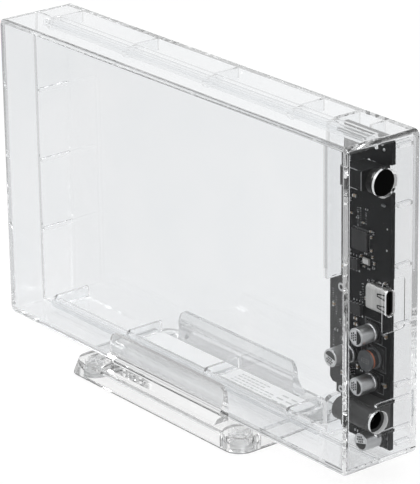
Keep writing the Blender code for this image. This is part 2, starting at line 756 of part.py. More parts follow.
def build_capacitor(name, place, can_material, base_material, parent):
    """One surface-mount electrolytic capacitor: rolled aluminium can on a plastic base."""
    x, z = place
    side = CAN_BASE_SIDE / 2
    base_front = MOUNT_PLANE - CAN_BASE_HEIGHT
    corner = 1.3 * MM
    outline = [
        (x - side, z - side),
        (x + side - corner, z - side),
        (x + side, z - side + corner),
        (x + side, z + side - corner),
        (x + side - corner, z + side),
        (x - side, z + side),
    ]
    finish(prism(outline, "Y", base_front, MOUNT_PLANE), name + "_base", base_material, parent)
    top = CAN_HEIGHT
    profile = [
        (0.0, 0.0),
        (CAN_RADIUS - 0.3 * MM, 0.0),
        (CAN_RADIUS, 0.3 * MM),
        (CAN_RADIUS, 0.9 * MM),
        (CAN_RADIUS - 0.3 * MM, 1.2 * MM),
        (CAN_RADIUS, 1.5 * MM),
        (CAN_RADIUS, top - 0.4 * MM),
        (CAN_RADIUS - 0.15 * MM, top - 0.12 * MM),
        (CAN_RADIUS - 0.45 * MM, top),
        (0.0, top),
    ]
    centre = (x, base_front - GAP, z)
    can = turned(profile, centre, Matrix.Rotation(0.5 * math.pi, 4, "X"), 32)
    finish(can, name + "_can", can_material, parent, smooth=True)


def build_inductor(core_material, wire_material, base_material, parent):
    """Drum-core inductor: base plate, ferrite drum and copper winding."""
    side = INDUCTOR_BASE_SIDE / 2
    thickness = 0.6 * MM
    base_front = MOUNT_PLANE - thickness
    outline = rounded_rectangle(
        (INDUCTOR_X - side, INDUCTOR_Z - side), (INDUCTOR_X + side, INDUCTOR_Z + side), 0.8 * MM, 3
    )
    finish(prism(outline, "Y", base_front, MOUNT_PLANE), "inductor_base", base_material, parent)
    turn = Matrix.Rotation(0.5 * math.pi, 4, "X")
    centre = (INDUCTOR_X, base_front - GAP, INDUCTOR_Z)
    flange = 1.0 * MM
    hub = 1.7 * MM
    core = [
        (0.0, 0.0),
        (DRUM_RADIUS, 0.0),
        (DRUM_RADIUS, flange),
        (hub, flange),
        (hub, DRUM_HEIGHT - flange),
        (DRUM_RADIUS - 0.15 * MM, DRUM_HEIGHT - flange),
        (DRUM_RADIUS - 0.15 * MM, DRUM_HEIGHT - 0.25 * MM),
        (DRUM_RADIUS - 0.4 * MM, DRUM_HEIGHT),
        (0.0, DRUM_HEIGHT),
    ]
    finish(turned(core, centre, turn, 32), "inductor_core", core_material, parent, smooth=True)
    outer = DRUM_RADIUS - 0.45 * MM
    wire = cylinder("Y", 0.0, 0.0, outer, flange + GAP, DRUM_HEIGHT - flange - GAP, 0.3 * MM)
    cut(wire, cylinder("Y", 0.0, 0.0, hub + GAP, 0.0, DRUM_HEIGHT))
    wire.location = (INDUCTOR_X, base_front - GAP - DRUM_HEIGHT, INDUCTOR_Z)
    finish(wire, "inductor_winding", wire_material, parent, smooth=True)


def build_chips(materials, parent):
    """The larger chips on the board, each standing just off its front face."""
    chips = [
        ("bridge_controller", "chip", (172.4, 73.4), (7.0, 7.0), 0.9),
        ("crystal", "can_metal", (175.3, 66.8), (3.2, 2.2), 0.8),
        ("flash_chip", "chip", (169.6, 64.6), (4.9, 3.9), 1.4),
        ("buck_regulator", "chip", (171.0, 49.0), (4.9, 3.9), 1.4),
        ("schottky_diode", "chip", (171.6, 23.6), (4.3, 2.6), 1.6),
        ("load_switch", "chip", (168.0, 25.8), (1.6, 2.9), 1.1),
        ("status_led", "lens", (183.4, 88.4), (1.6, 0.8), 0.8),
    ]
    for name, key, (x, z), (width, height), thickness in chips:
        low = ((x - width / 2) * MM, MOUNT_PLANE - thickness * MM, (z - height / 2) * MM)
        high = ((x + width / 2) * MM, MOUNT_PLANE, (z + height / 2) * MM)
        finish(block(low, high, 0.12 * MM), name, materials[key], parent)


# ---------------------------------------------------------------- cradle


def fence_section(side):
    """Y-Z section of a fence: straight inner face with a lead-in, outer face flared at its foot."""
    inner = DEPTH / 2 + GAP
    outer = inner + FENCE_THICKNESS
    points = [
        (inner, TRAY_TOP - TRAY_WALL / 2),
        (inner, FENCE_TOP - FENCE_LEAD_IN_HEIGHT),
        (inner + FENCE_LEAD_IN, FENCE_TOP - 0.4 * MM),
        (inner + FENCE_LEAD_IN + 0.3 * MM, FENCE_TOP),
        (outer - 0.5 * MM, FENCE_TOP),
        (outer, FENCE_TOP - 0.5 * MM),
    ]
    steps = 8
    for step in range(steps + 1):
        share = step / steps
        height = TRAY_TOP + FENCE_FLARE_HEIGHT * (1 - share)
        points.append((outer + FENCE_FLARE * share ** 2, height))
    points.append((outer + FENCE_FLARE, TRAY_TOP - TRAY_WALL / 2))
    return [(side * across, height) for across, height in points]


def build_fence(side):
    """One fence, with the upper corners of its long face rounded."""
    half = FENCE_LENGTH / 2
    fence = prism(fence_section(side), "X", -half, half)
    low = TRAY_TOP - TRAY_WALL
    outline = [(-half, low), (half, low)]
    radius = FENCE_CORNER_RADIUS
    for sign, start in ((1, 0.0), (-1, 0.5 * math.pi)):
        for step in range(7):
            angle = start + 0.5 * math.pi * step / 6
            outline.append(
                (
                    sign * (half - radius) + radius * math.cos(angle),
                    FENCE_TOP - radius + radius * math.sin(angle),
                )
            )
    return keep(fence, prism(outline, "Y", -TRAY_WIDTH, TRAY_WIDTH))


def foot_places():
    """Centres of the four foot bosses."""
    across = TRAY_LENGTH / 2 - TRAY_DRAFT - FOOT_RADIUS
    along = TRAY_WIDTH / 2 - TRAY_DRAFT - FOOT_RADIUS
    return {
        "front_left": (-across, -along),
        "front_right": (across, -along),
        "rear_left": (-across, along),
        "rear_right": (across, along),
    }


def drafted_block(inset, low, high, radius):
    """A round-cornered block whose sides lean in by the tray's draft from its foot to its top."""
    builder = bmesh.new()
    rings = []
    for height, draft in ((low, 0.0), (high, TRAY_DRAFT)):
        half_length = TRAY_LENGTH / 2 - inset - draft
        half_width = TRAY_WIDTH / 2 - inset - draft
        outline = rounded_rectangle((-half_length, -half_width), (half_length, half_width), radius, 8)
        rings.append([builder.verts.new((x, y, height)) for x, y in outline])
    lower, upper = rings
    count = len(lower)
    builder.faces.new(list(reversed(lower)))
    builder.faces.new(upper)
    for step in range(count):
        after = (step + 1) % count
        builder.faces.new((lower[step], lower[after], upper[after], upper[step]))
    return make_object("drafted_block", builder)


def build_cradle(material, parent):
    """The clear tray with its four bosses and two fences."""
    tray = drafted_block(0.0, TRAY_BOTTOM, TRAY_TOP, FOOT_RADIUS)
    hollow_top = TRAY_TOP - TRAY_WALL
    cut(tray, drafted_block(TRAY_WALL, TRAY_BOTTOM - OVERCUT, hollow_top, FOOT_RADIUS - TRAY_WALL))
    for x, y in foot_places().values():
        join(tray, cylinder("Z", x, y, FOOT_RADIUS, TRAY_BOTTOM, TRAY_TOP - TRAY_WALL / 2))
    length = FOOT_RECESS_RADIUS + 0.5 * MM
    half = CROSS_THICKNESS / 2
    cross_top = FOOT_RECESS_TOP + 0.5 * MM
    for x, y in foot_places().values():
        cut(tray, cylinder("Z", x, y, FOOT_RECESS_RADIUS, TRAY_BOTTOM - OVERCUT, FOOT_RECESS_TOP))
        join(tray, block((x - length, y - half, CROSS_BOTTOM), (x + length, y + half, cross_top)))
        join(tray, block((x - half, y - length, CROSS_BOTTOM), (x + half, y + length, cross_top)))
    for side in (-1, 1):
        join(tray, build_fence(side))
    return finish(tray, "cradle", material, parent)


def build_pads(material, parent):
    """A soft pad in the recess of each boss."""
    for corner, (x, y) in foot_places().items():
        pad = cylinder("Z", x, y, PAD_RADIUS, 0.0, PAD_HEIGHT, 0.3 * MM)
        finish(pad, "foot_pad_" + corner, material, parent, smooth=True)


def build_all():
    """Build every piece of the enclosure, its electronics and its cradle."""
    clear_scene()
    clear = make_material("clear_polycarbonate", (0.93, 0.95, 0.97), 0.03, transmission=1.0)
    soft = make_material("clear_silicone", (0.75, 0.76, 0.77), 0.35)
    mask = make_material("black_solder_mask", (0.022, 0.024, 0.026), 0.35)
    black = make_material("black_plastic", (0.012, 0.012, 0.013), 0.4)
    steel = make_material("nickel_plated_steel", (0.62, 0.61, 0.58), 0.25, metallic=1.0)
    gold = make_material("gold_plated_contact", (0.75, 0.58, 0.28), 0.25, metallic=1.0)
    aluminium = make_material("aluminium_can", (0.6, 0.6, 0.61), 0.3, metallic=1.0)
    ferrite = make_material("grey_ferrite", (0.07, 0.07, 0.075), 0.5)
    copper = make_material("enamelled_copper", (0.55, 0.2, 0.07), 0.35, metallic=1.0)
    chip = make_material("chip_epoxy", (0.025, 0.025, 0.027), 0.5)
    lens = make_material("led_lens", (0.7, 0.8, 0.9), 0.15)
    paper = make_material("white_label", (0.85, 0.85, 0.84), 0.6)

    enclosure = make_empty("enclosure_frame", (-LENGTH / 2, -DEPTH / 2, ENCLOSURE_LIFT))
    build_base_shell(clear, enclosure)
    build_sliding_cover(clear, enclosure)
    build_label(paper, enclosure)
    build_board(mask, enclosure)
    build_usb(steel, black, enclosure)
    build_jack(black, steel, enclosure)
    build_switch(black, black, enclosure)
    build_sata(black, gold, enclosure)
    for name, place in CAPACITOR_PLACES.items():
        build_capacitor(name, place, aluminium, black, enclosure)
    build_inductor(ferrite, copper, chip, enclosure)
    build_chips({"chip": chip, "can_metal": steel, "lens": lens}, enclosure)

    cradle = make_empty("cradle_frame", (CRADLE_SHIFT, 0.0, 0.0))
    build_cradle(clear, cradle)
    build_pads(soft, cradle)


build_all()
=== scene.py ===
"""Looks of the clear disk-drive enclosure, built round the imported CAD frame."""

import math
import random

import bmesh
import bpy
from mathutils import Matrix, Vector


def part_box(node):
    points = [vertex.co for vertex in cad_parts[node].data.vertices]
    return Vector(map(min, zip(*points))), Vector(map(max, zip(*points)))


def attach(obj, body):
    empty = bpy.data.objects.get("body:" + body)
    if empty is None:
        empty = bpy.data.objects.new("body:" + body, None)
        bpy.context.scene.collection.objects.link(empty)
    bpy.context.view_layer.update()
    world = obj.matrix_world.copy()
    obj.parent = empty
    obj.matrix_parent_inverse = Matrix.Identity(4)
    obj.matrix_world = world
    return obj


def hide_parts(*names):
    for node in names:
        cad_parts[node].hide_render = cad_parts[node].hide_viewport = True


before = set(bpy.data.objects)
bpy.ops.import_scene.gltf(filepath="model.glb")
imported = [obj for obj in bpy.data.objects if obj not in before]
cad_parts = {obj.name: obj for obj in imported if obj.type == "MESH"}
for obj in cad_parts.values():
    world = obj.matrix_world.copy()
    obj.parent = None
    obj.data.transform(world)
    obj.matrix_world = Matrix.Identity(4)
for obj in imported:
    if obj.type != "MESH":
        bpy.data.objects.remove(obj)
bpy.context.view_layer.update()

MM = 0.001
scene = bpy.context.scene

# Places that the pieces below are set out from, all read from the frame.
SHELL_LOW, SHELL_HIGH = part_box("base_shell")
BOARD_LOW, BOARD_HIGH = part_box("main_board")
BOARD_FACE = BOARD_LOW.y
UP, ACROSS = Vector((0, 0, 1)), Vector((0, 1, 0))

CLEAR_ROUGHNESS = 0.015
CLEAR_IOR = 1.58
SHADOW_TINT = (0.9, 0.9, 0.9, 1.0)
COAT_ROUGHNESS = 0.15
BRUSHING_RELIEF = 0.006 * MM
WELD_DISTANCE = 0.002 * MM
SMOOTH_ANGLE = math.radians(32)
NORMAL_WEIGHT = 80


def on_board(x, z, proud=0.0):
    """A point on the board's front face, x and z in millimetres, proud of it by so many."""
    return Vector((SHELL_LOW.x + x * MM, BOARD_FACE - proud * MM, SHELL_LOW.z + z * MM))


def behind_board(x, z, proud=0.0):
    """A point on the board's rear face, x and z in millimetres, proud of it by so many."""
    return Vector((SHELL_LOW.x + x * MM, BOARD_HIGH.y + proud * MM, SHELL_LOW.z + z * MM))


# ---------------------------------------------------------------- node helpers


def new_material(name):
    """An empty Principled material: returns it with its tree and shader."""
    material = bpy.data.materials.new(name)
    material.use_nodes = True
    tree = material.node_tree
    return material, tree, tree.nodes["Principled BSDF"]


def add(tree, kind, **settings):
    """A node with its properties and input values set."""
    node = tree.nodes.new(kind)
    for key, value in settings.items():
        if key.startswith("in_"):
            node.inputs[key[3:].replace("_", " ")].default_value = value
        else:
            setattr(node, key, value)
    return node


def noise(tree, scale, detail=3.0, roughness=0.5, stretch=(1, 1, 1)):
    """Noise in metres of the piece's own space, stretched along an axis if asked."""
    place = add(tree, "ShaderNodeTexCoord")
    mapping = add(tree, "ShaderNodeMapping")
    mapping.inputs["Scale"].default_value = stretch
    texture = add(tree, "ShaderNodeTexNoise", in_Scale=scale, in_Detail=detail, in_Roughness=roughness)
    tree.links.new(place.outputs["Object"], mapping.inputs["Vector"])
    tree.links.new(mapping.outputs["Vector"], texture.inputs["Vector"])
    return texture.outputs["Fac"]


def ramp(tree, source, stops):
    """A colour ramp from (position, colour or grey) stops."""
    node = add(tree, "ShaderNodeValToRGB")
    elements = node.color_ramp.elements
    while len(elements) > len(stops):
        elements.remove(elements[-1])
    while len(elements) < len(stops):
        elements.new(1.0)
    for element, (position, colour) in zip(elements, stops):
        if not isinstance(colour, tuple):
            colour = (colour, colour, colour)
        element.position = position
        element.color = (*colour, 1.0)
    tree.links.new(source, node.inputs["Fac"])
    return node.outputs["Color"]


def bump(tree, shader, height, strength, distance):
    """Surface relief from a height, in metres."""
    node = add(tree, "ShaderNodeBump", in_Strength=strength, in_Distance=distance)
    tree.links.new(height, node.inputs["Height"])
    tree.links.new(node.outputs["Normal"], shader.inputs["Normal"])


def between(tree, source, low, high):
    """A number rescaled from 0..1 to low..high."""
    node = add(tree, "ShaderNodeMapRange")
    node.inputs["To Min"].default_value = low
    node.inputs["To Max"].default_value = high
    tree.links.new(source, node.inputs["Value"])
    return node.outputs["Result"]


def moulded(name, dark, light, roughness, grain=2500.0, relief=0.00001, metallic=0.0, coat=0.0):
    """Plastic, epoxy or paint: two close tones, uneven gloss and a fine grain."""
    material, tree, shader = new_material(name)
    cloud = noise(tree, grain / 12, 4.0)
    fine = noise(tree, grain, 2.0)
    tree.links.new(ramp(tree, cloud, [(0.3, dark), (0.7, light)]), shader.inputs["Base Color"])
    tree.links.new(between(tree, cloud, roughness * 0.8, roughness * 1.25), shader.inputs["Roughness"])
    shader.inputs["Metallic"].default_value = metallic
    shader.inputs["Coat Weight"].default_value = coat
    shader.inputs["Coat Roughness"].default_value = COAT_ROUGHNESS
    bump(tree, shader, fine, 0.5, relief)
    return material


def drawn_metal(name, dark, light, roughness, stretch, grain=900.0):
    """Metal with fine drawing or brushing marks along one axis."""
    material, tree, shader = new_material(name)
    streak = noise(tree, grain, 5.0, 0.65, stretch)
    cloud = noise(tree, 260.0, 3.0)
    tree.links.new(ramp(tree, streak, [(0.3, dark), (0.7, light)]), shader.inputs["Base Color"])
    tree.links.new(between(tree, cloud, roughness * 0.75, roughness * 1.3), shader.inputs["Roughness"])
    shader.inputs["Metallic"].default_value = 1.0
    bump(tree, shader, streak, 0.35, BRUSHING_RELIEF)
    return material


def clear_plastic(name, dark, light, wave, relief):
    """Polished clear plastic: faint tone and moulding waves. Shadow rays pass through it tinted."""
    material, tree, shader = new_material(name)
    cloud = noise(tree, 40.0, 2.0)
    tree.links.new(ramp(tree, cloud, [(0.3, dark), (0.7, light)]), shader.inputs["Base Color"])
    shader.inputs["Roughness"].default_value = CLEAR_ROUGHNESS
    shader.inputs["IOR"].default_value = CLEAR_IOR
    shader.inputs["Transmission Weight"].default_value = 1.0
    bump(tree, shader, noise(tree, wave, 2.0, 0.4), 0.35, relief)
    path = add(tree, "ShaderNodeLightPath")
    passing = add(tree, "ShaderNodeBsdfTransparent")
    passing.inputs["Color"].default_value = SHADOW_TINT
    mix = add(tree, "ShaderNodeMixShader")
    tree.links.new(path.outputs["Is Shadow Ray"], mix.inputs["Fac"])
    tree.links.new(shader.outputs["BSDF"], mix.inputs[1])
    tree.links.new(passing.outputs["BSDF"], mix.inputs[2])
    tree.links.new(mix.outputs["Shader"], tree.nodes["Material Output"].inputs["Surface"])
    return material


# ---------------------------------------------------------------- mesh helpers


class Build:
    """Collects simple solids into one mesh."""

    def __init__(self):
        self.mesh = bmesh.new()

    def _place(self, verts, matrix):
        bmesh.ops.transform(self.mesh, matrix=matrix, verts=verts)

    def box(self, centre, size, bevel=0.0, turn=0.0, axis="Y"):
        """A box about a centre, its edges bevelled, turned about an axis."""
        made = bmesh.ops.create_cube(self.mesh, size=1.0)["verts"]
        self._place(made, Matrix.Diagonal((*size, 1.0)))
        if bevel > 0:
            edges = list({edge for vert in made for edge in vert.link_edges})
            result = bmesh.ops.bevel(
                self.mesh, geom=edges, offset=bevel, segments=2, profile=0.6, affect="EDGES",
                clamp_overlap=True,
            )
            made = list({vert for face in result["faces"] for vert in face.verts})
            seen = set(made)
            grow = list(made)
            while grow:
                vert = grow.pop()
                for edge in vert.link_edges:
                    other = edge.other_vert(vert)
                    if other not in seen:
                        seen.add(other)
                        grow.append(other)
            made = list(seen)
        self._place(made, Matrix.Translation(centre) @ Matrix.Rotation(turn, 4, axis))
        return self

    def lathe(self, centre, profile, axis="-Y", steps=48, closed=True):
        """A solid turned from (radius, height) points, its axis along X, Y, -Y or Z."""
        turns = {
            "-Y": Matrix.Rotation(0.5 * math.pi, 4, "X"),
            "Y": Matrix.Rotation(-0.5 * math.pi, 4, "X"),
            "X": Matrix.Rotation(0.5 * math.pi, 4, "Y"),
            "Z": Matrix.Identity(4),
        }
        matrix = Matrix.Translation(centre) @ turns[axis]
        rings = []
        for radius, height in profile:
            if radius == 0.0:
                rings.append([self.mesh.verts.new(matrix @ Vector((0, 0, height)))])
                continue
            rings.append(
                [
                    self.mesh.verts.new(
                        matrix
                        @ Vector(
                            (
                                radius * math.cos(2 * math.pi * step / steps),
                                radius * math.sin(2 * math.pi * step / steps),
                                height,
                            )
                        )
                    )
                    for step in range(steps)
                ]
            )
        pairs = list(zip(rings, rings[1:]))
        if closed:
            pairs.append((rings[-1], rings[0]))
        for lower, upper in pairs:
            for step in range(steps):
                after = (step + 1) % steps
                if len(lower) == 1 and len(upper) == 1:
                    break
                if len(lower) == 1:
                    self.mesh.faces.new((lower[0], upper[after], upper[step]))
                elif len(upper) == 1:
                    self.mesh.faces.new((lower[step], lower[after], upper[0]))
                else:
                    self.mesh.faces.new((lower[step], lower[after], upper[after], upper[step]))
        return self

    def tube(self, points, radius, steps=10, closed=False, normal=ACROSS):
        """A round wire along points that lie in a plane with the given normal."""
        rings = []
        count = len(points)
        for number, point in enumerate(points):
            before = points[number - 1] if number or closed else point
            after = points[(number + 1) % count] if number < count - 1 or closed else point
            ahead = (after - before).normalized()
            side = ahead.cross(normal)
            if side.length < 0.01:
                side = ahead.cross(UP)
            side.normalize()
            other = ahead.cross(side)
            rings.append(
                [
                    self.mesh.verts.new(
                        point
                        + radius * math.cos(2 * math.pi * step / steps) * side
                        + radius * math.sin(2 * math.pi * step / steps) * other
                    )
                    for step in range(steps)
                ]
            )
        pairs = list(zip(rings, rings[1:])) + ([(rings[-1], rings[0])] if closed else [])
        for lower, upper in pairs:
            for step in range(steps):
                after = (step + 1) % steps
                self.mesh.faces.new((lower[step], lower[after], upper[after], upper[step]))
        if not closed:
            self.mesh.faces.new(list(reversed(rings[0])))
            self.mesh.faces.new(rings[-1])
        return self

    def slab(self, outline, y_front, y_back):
        """A flat plate from an X-Z outline between two depths."""
        front = [self.mesh.verts.new((x, y_front, z)) for x, z in outline]
        back = [self.mesh.verts.new((x, y_back, z)) for x, z in outline]
        count = len(outline)
        self.mesh.faces.new(front)
        self.mesh.faces.new(list(reversed(back)))
        for step in range(count):
            after = (step + 1) % count
            self.mesh.faces.new((front[step], front[after], back[after], back[step]))
        return self

    def piece(self, name, material, slot, body="enclosure", angle=35.0, node=()):
        """Turns the mesh into an object that rides on a body."""
        bmesh.ops.recalc_face_normals(self.mesh, faces=self.mesh.faces)
        mesh = bpy.data.meshes.new(name)
        self.mesh.to_mesh(mesh)
        self.mesh.free()
        mesh.materials.append(material)
        mesh.shade_smooth()
        mesh.set_sharp_from_angle(angle=math.radians(angle))
        item = bpy.data.objects.new(name, mesh)
        scene.collection.objects.link(item)
        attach(item, body)
        if node:
            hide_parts(*node)
        return item


def smooth_by_angle():
    """Modifier tree that welds a node's split corners and smooths all but its sharp edges."""
    tree = bpy.data.node_groups.new("weld_and_smooth", "GeometryNodeTree")
    tree.interface.new_socket("Geometry", in_out="INPUT", socket_type="NodeSocketGeometry")
    tree.interface.new_socket("Geometry", in_out="OUTPUT", socket_type="NodeSocketGeometry")
    start = tree.nodes.new("NodeGroupInput")
    end = tree.nodes.new("NodeGroupOutput")
    weld = tree.nodes.new("GeometryNodeMergeByDistance")
    weld.inputs["Distance"].default_value = WELD_DISTANCE
    faces = tree.nodes.new("GeometryNodeSetShadeSmooth")
    faces.domain = "FACE"
    edges = tree.nodes.new("GeometryNodeSetShadeSmooth")
    edges.domain = "EDGE"
    angle = tree.nodes.new("GeometryNodeInputMeshEdgeAngle")
    compare = tree.nodes.new("FunctionNodeCompare")
    compare.operation = "LESS_THAN"
    compare.inputs["B"].default_value = SMOOTH_ANGLE
    links = tree.links
    links.new(start.outputs[0], weld.inputs["Geometry"])
    links.new(weld.outputs["Geometry"], faces.inputs["Geometry"])
    links.new(faces.outputs["Geometry"], edges.inputs["Geometry"])
    links.new(angle.outputs["Unsigned Angle"], compare.inputs["A"])
    links.new(compare.outputs["Result"], edges.inputs["Shade Smooth"])
    links.new(edges.outputs["Geometry"], end.inputs[0])
    return tree


SMOOTH = smooth_by_angle()


def dress(node, material):
    """Gives a carried-over node its finish and soft shading."""
    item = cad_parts[node]
    item.data.materials.clear()
    item.data.materials.append(material)
    modifier = item.modifiers.new("smooth", "NODES")
    modifier.node_group = SMOOTH
    normals = item.modifiers.new("normals", "WEIGHTED_NORMAL")
    normals.keep_sharp = True
    normals.weight = NORMAL_WEIGHT


# ---------------------------------------------------------------- materials


def dulled(material, level):
    """A finish with its mirror strength lowered."""
    material.node_tree.nodes["Principled BSDF"].inputs["Specular IOR Level"].default_value = level
    return material


clear = clear_plastic("clear_polycarbonate", (0.935, 0.945, 0.953), (0.955, 0.96, 0.966), 22.0, 0.06 * MM)
cradle_clear = clear_plastic(
    "cradle_polycarbonate", (0.895, 0.898, 0.898), (0.925, 0.926, 0.926), 25.0, 0.03 * MM
)
solder_mask = dulled(
    moulded("black_solder_mask", (0.0035, 0.004, 0.0047), (0.006, 0.0068, 0.0078), 0.5, 1800.0), 0.2
)
switch_black = dulled(
    moulded("switch_plastic", (0.0045, 0.005, 0.0055), (0.008, 0.0085, 0.009), 0.5, 1800.0), 0.2
)
black_plastic = moulded("black_plastic", (0.012, 0.012, 0.013), (0.022, 0.022, 0.023), 0.42)
gloss_black = dulled(
    moulded("gloss_black_button", (0.0008,) * 3, (0.0015,) * 3, 0.3, 900.0, 0.003 * MM), 0.1
)
# Near-black for dark gaps, and painted shade in the jack's bore, the USB mouth and the near side of the jack
# hole.
shade_and_gap_black = dulled(moulded("gap_and_painted_shade_black", (0.0012,) * 3, (0.002,) * 3, 0.7, 900.0, 0.003 * MM), 0.1)
grey_black = moulded("jack_plastic", (0.026, 0.026, 0.026), (0.04, 0.04, 0.04), 0.5, 2200.0)
epoxy = moulded("chip_epoxy", (0.016, 0.016, 0.017), (0.03, 0.03, 0.031), 0.55, 5000.0)
ferrite = moulded("grey_ferrite", (0.05, 0.053, 0.056), (0.085, 0.088, 0.092), 0.6, 3500.0, 0.00002)
ink = moulded("white_ink", (0.42, 0.43, 0.44), (0.6, 0.61, 0.62), 0.6, 3000.0)
dim_ink = moulded("worn_ink", (0.13, 0.135, 0.14), (0.24, 0.245, 0.25), 0.6, 3000.0)
black_ink = moulded("black_ink", (0.006, 0.006, 0.006), (0.014, 0.014, 0.014), 0.6, 3000.0)
grey_ink = moulded("grey_ink", (0.42, 0.43, 0.43), (0.52, 0.53, 0.53), 0.6, 3000.0)
paper = moulded("white_film", (0.79, 0.795, 0.8), (0.85, 0.85, 0.85), 0.55, 1500.0, coat=0.1)
# Pale frosted plastic, used only as a painted highlight on the far side of the jack hole.
frosted_painted_highlight = moulded("hole_painted_highlight", (0.66, 0.665, 0.67), (0.8, 0.805, 0.81), 0.45, 1500.0)
# Grey for thin lines along the clear mouldings' lower edges: painted shade.
painted_shade_grey = moulded("edge_painted_shade", (0.16, 0.162, 0.165), (0.26, 0.262, 0.265), 0.5, 1200.0)
# Bright non-metal grey for the switch bracket's edges: a painted glint standing in for the metal's
# reflections.
painted_glint = moulded("bracket_painted_highlight", (0.36, 0.365, 0.37), (0.5, 0.505, 0.51), 0.35, 2500.0)
silicone = moulded("grey_silicone", (0.55, 0.56, 0.565), (0.66, 0.665, 0.67), 0.45, 1500.0)
tin = moulded("solder", (0.58, 0.59, 0.6), (0.75, 0.755, 0.76), 0.3, 1400.0, metallic=1.0)
steel = drawn_metal("nickel_plated_steel", (0.5, 0.495, 0.485), (0.66, 0.655, 0.64), 0.36, (1, 1, 0.08))
can_metal = drawn_metal("aluminium_can", (0.52, 0.525, 0.53), (0.7, 0.705, 0.71), 0.36, (1, 0.06, 1))
can_top = moulded("aluminium_top", (0.66, 0.665, 0.67), (0.78, 0.785, 0.79), 0.42, 1500.0, metallic=0.55)
# Painted shade: the jack's pin is given near-black steel, far darker than bright plating, for the shade
# inside the jack.
painted_shade_pin = drawn_metal("dark_pin_painted_shade", (0.02, 0.02, 0.02), (0.035, 0.035, 0.034), 0.5, (0.1, 1, 1))
gold = drawn_metal("gold_plated_contact", (0.72, 0.55, 0.24), (0.86, 0.68, 0.34), 0.25, (1, 1, 0.2))
copper = moulded("enamelled_copper", (0.27, 0.075, 0.028), (0.44, 0.14, 0.06), 0.3, 1600.0, coat=0.6)
lens = moulded("led_lens", (0.1, 0.105, 0.11), (0.16, 0.165, 0.17), 0.25, 2000.0)
ceramic = moulded("tan_ceramic", (0.2, 0.15, 0.1), (0.3, 0.23, 0.16), 0.45, 4000.0)

# ---------------------------------------------------------------- carried-over nodes

for node, material in (
    ("base_shell", clear),
    ("sliding_cover", clear),
    ("cradle", cradle_clear),
    ("label_left", paper),
    ("rating_label", paper),
    ("main_board", solder_mask),
    ("usb_c_shell", steel),
    ("usb_c_tongue", black_plastic),
    ("dc_jack_body", grey_black),
    ("dc_jack_pin", painted_shade_pin),
    ("switch_body", switch_black),
    ("sata_receptacle", black_plastic),
    ("sata_signal_contacts", gold),
    ("sata_power_contacts", gold),
    ("inductor_base", epoxy),
    ("bridge_controller", epoxy),
    ("flash_chip", epoxy),
    ("buck_regulator", epoxy),
    ("schottky_diode", epoxy),
    ("load_switch", epoxy),
    ("power_button", gloss_black),
    ("status_led", lens),
):
    dress(node, material)
for corner in ("front_left", "front_right", "rear_left", "rear_right"):
    dress("foot_pad_" + corner, silicone)
for place in ("top", "left", "middle", "bottom"):
    dress("capacitor_%s_base" % place, black_plastic)

# ---------------------------------------------------------------- capacitors


def capacitor(place, dark_side):
    """Detailed can, its printed half-moon on one side, and plain dashes beside it."""
    low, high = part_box("capacitor_%s_can" % place)
    centre = Vector(((low.x + high.x) / 2, high.y, (low.z + high.z) / 2))
    radius = (high.x - low.x) / 2
    height = high.y - low.y
    crown = 0.35 * MM
    neck_low, neck_tall, neck_depth, neck_steps, crown_steps = 0.85 * MM, 0.8 * MM, 0.28 * MM, 8, 6
    sunk = height - 0.08 * MM
    profile = [(0.0, 0.0), (radius * 0.88, 0.0), (radius * 0.97, 0.12 * MM), (radius, 0.35 * MM)]
    profile += [(radius, neck_low)]
    for step in range(1, neck_steps):
        angle = math.pi * step / neck_steps
        profile.append((radius - neck_depth * math.sin(angle), neck_low + neck_tall * step / neck_steps))
    profile += [(radius, neck_low + neck_tall), (radius, height - crown)]
    for step in range(1, crown_steps + 1):
        angle = 0.5 * math.pi * step / crown_steps
        profile.append((radius - crown * (1 - math.cos(angle)), height - crown * (1 - math.sin(angle))))
    rim = radius - crown
    profile += [(rim - 0.12 * MM, height - 0.02 * MM), (rim - 0.25 * MM, sunk), (0.0, sunk)]
    Build().lathe(centre, profile, steps=64, closed=False).piece(
        "can_" + place, can_metal, "can_aluminium", node=("capacitor_%s_can" % place,)
    )
    face = low.y + 0.08 * MM
    inner = rim - 0.3 * MM
    disc_steps, moon_steps = 56, 24
    disc = []
    for step in range(disc_steps):
        angle = 2 * math.pi * step / disc_steps
        disc.append((centre.x + inner * math.cos(angle), centre.z + inner * math.sin(angle)))
    Build().slab(disc, face - 0.02 * MM, face + 0.01 * MM).piece(
        "can_face_" + place, can_top, "can_aluminium"
    )
    chord = 0.16 * inner
    start = math.acos(chord / inner)
    moon = []
    for step in range(moon_steps + 1):
        angle = dark_side - start + 2 * start * step / moon_steps
        moon.append((centre.x + inner * math.cos(angle), centre.z + inner * math.sin(angle)))
    Build().slab(moon, face - 0.035 * MM, face - 0.01 * MM).piece(
        "can_mark_" + place, black_ink, "black_plastic"
    )
    marks = Build()
    turn = dark_side
    for row, count in ((-0.06, 3), (-0.4, 4), (-0.72, 3)):
        for number in range(count):
            along = (number - (count - 1) / 2) * 0.34 * inner
            across = row * inner
            x = centre.x + across * math.cos(turn) - along * math.sin(turn)
            z = centre.z + across * math.sin(turn) + along * math.cos(turn)
            marks.box((x, face - 0.028 * MM, z), (0.6 * MM, 0.02 * MM, 0.62 * MM), turn=-turn, axis="Y")
    marks.piece("can_dashes_" + place, black_ink, "black_plastic")
    leads = Build()
    base_low, base_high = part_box("capacitor_%s_base" % place)
    for side in (base_low.x, base_high.x):
        sign = 1 if side > centre.x else -1
        foot = (side + sign * 0.35 * MM, BOARD_FACE - 0.16 * MM, centre.z)
        leads.box(foot, (0.9 * MM, 0.2 * MM, 0.75 * MM), 0.05 * MM)
    leads.piece("can_leads_" + place, tin, "nickel_steel")


capacitor("top", 0.0)
capacitor("middle", 0.0)
capacitor("left", 0.42 * math.pi)
capacitor("bottom", -0.42 * math.pi)

# ---------------------------------------------------------------- inductor

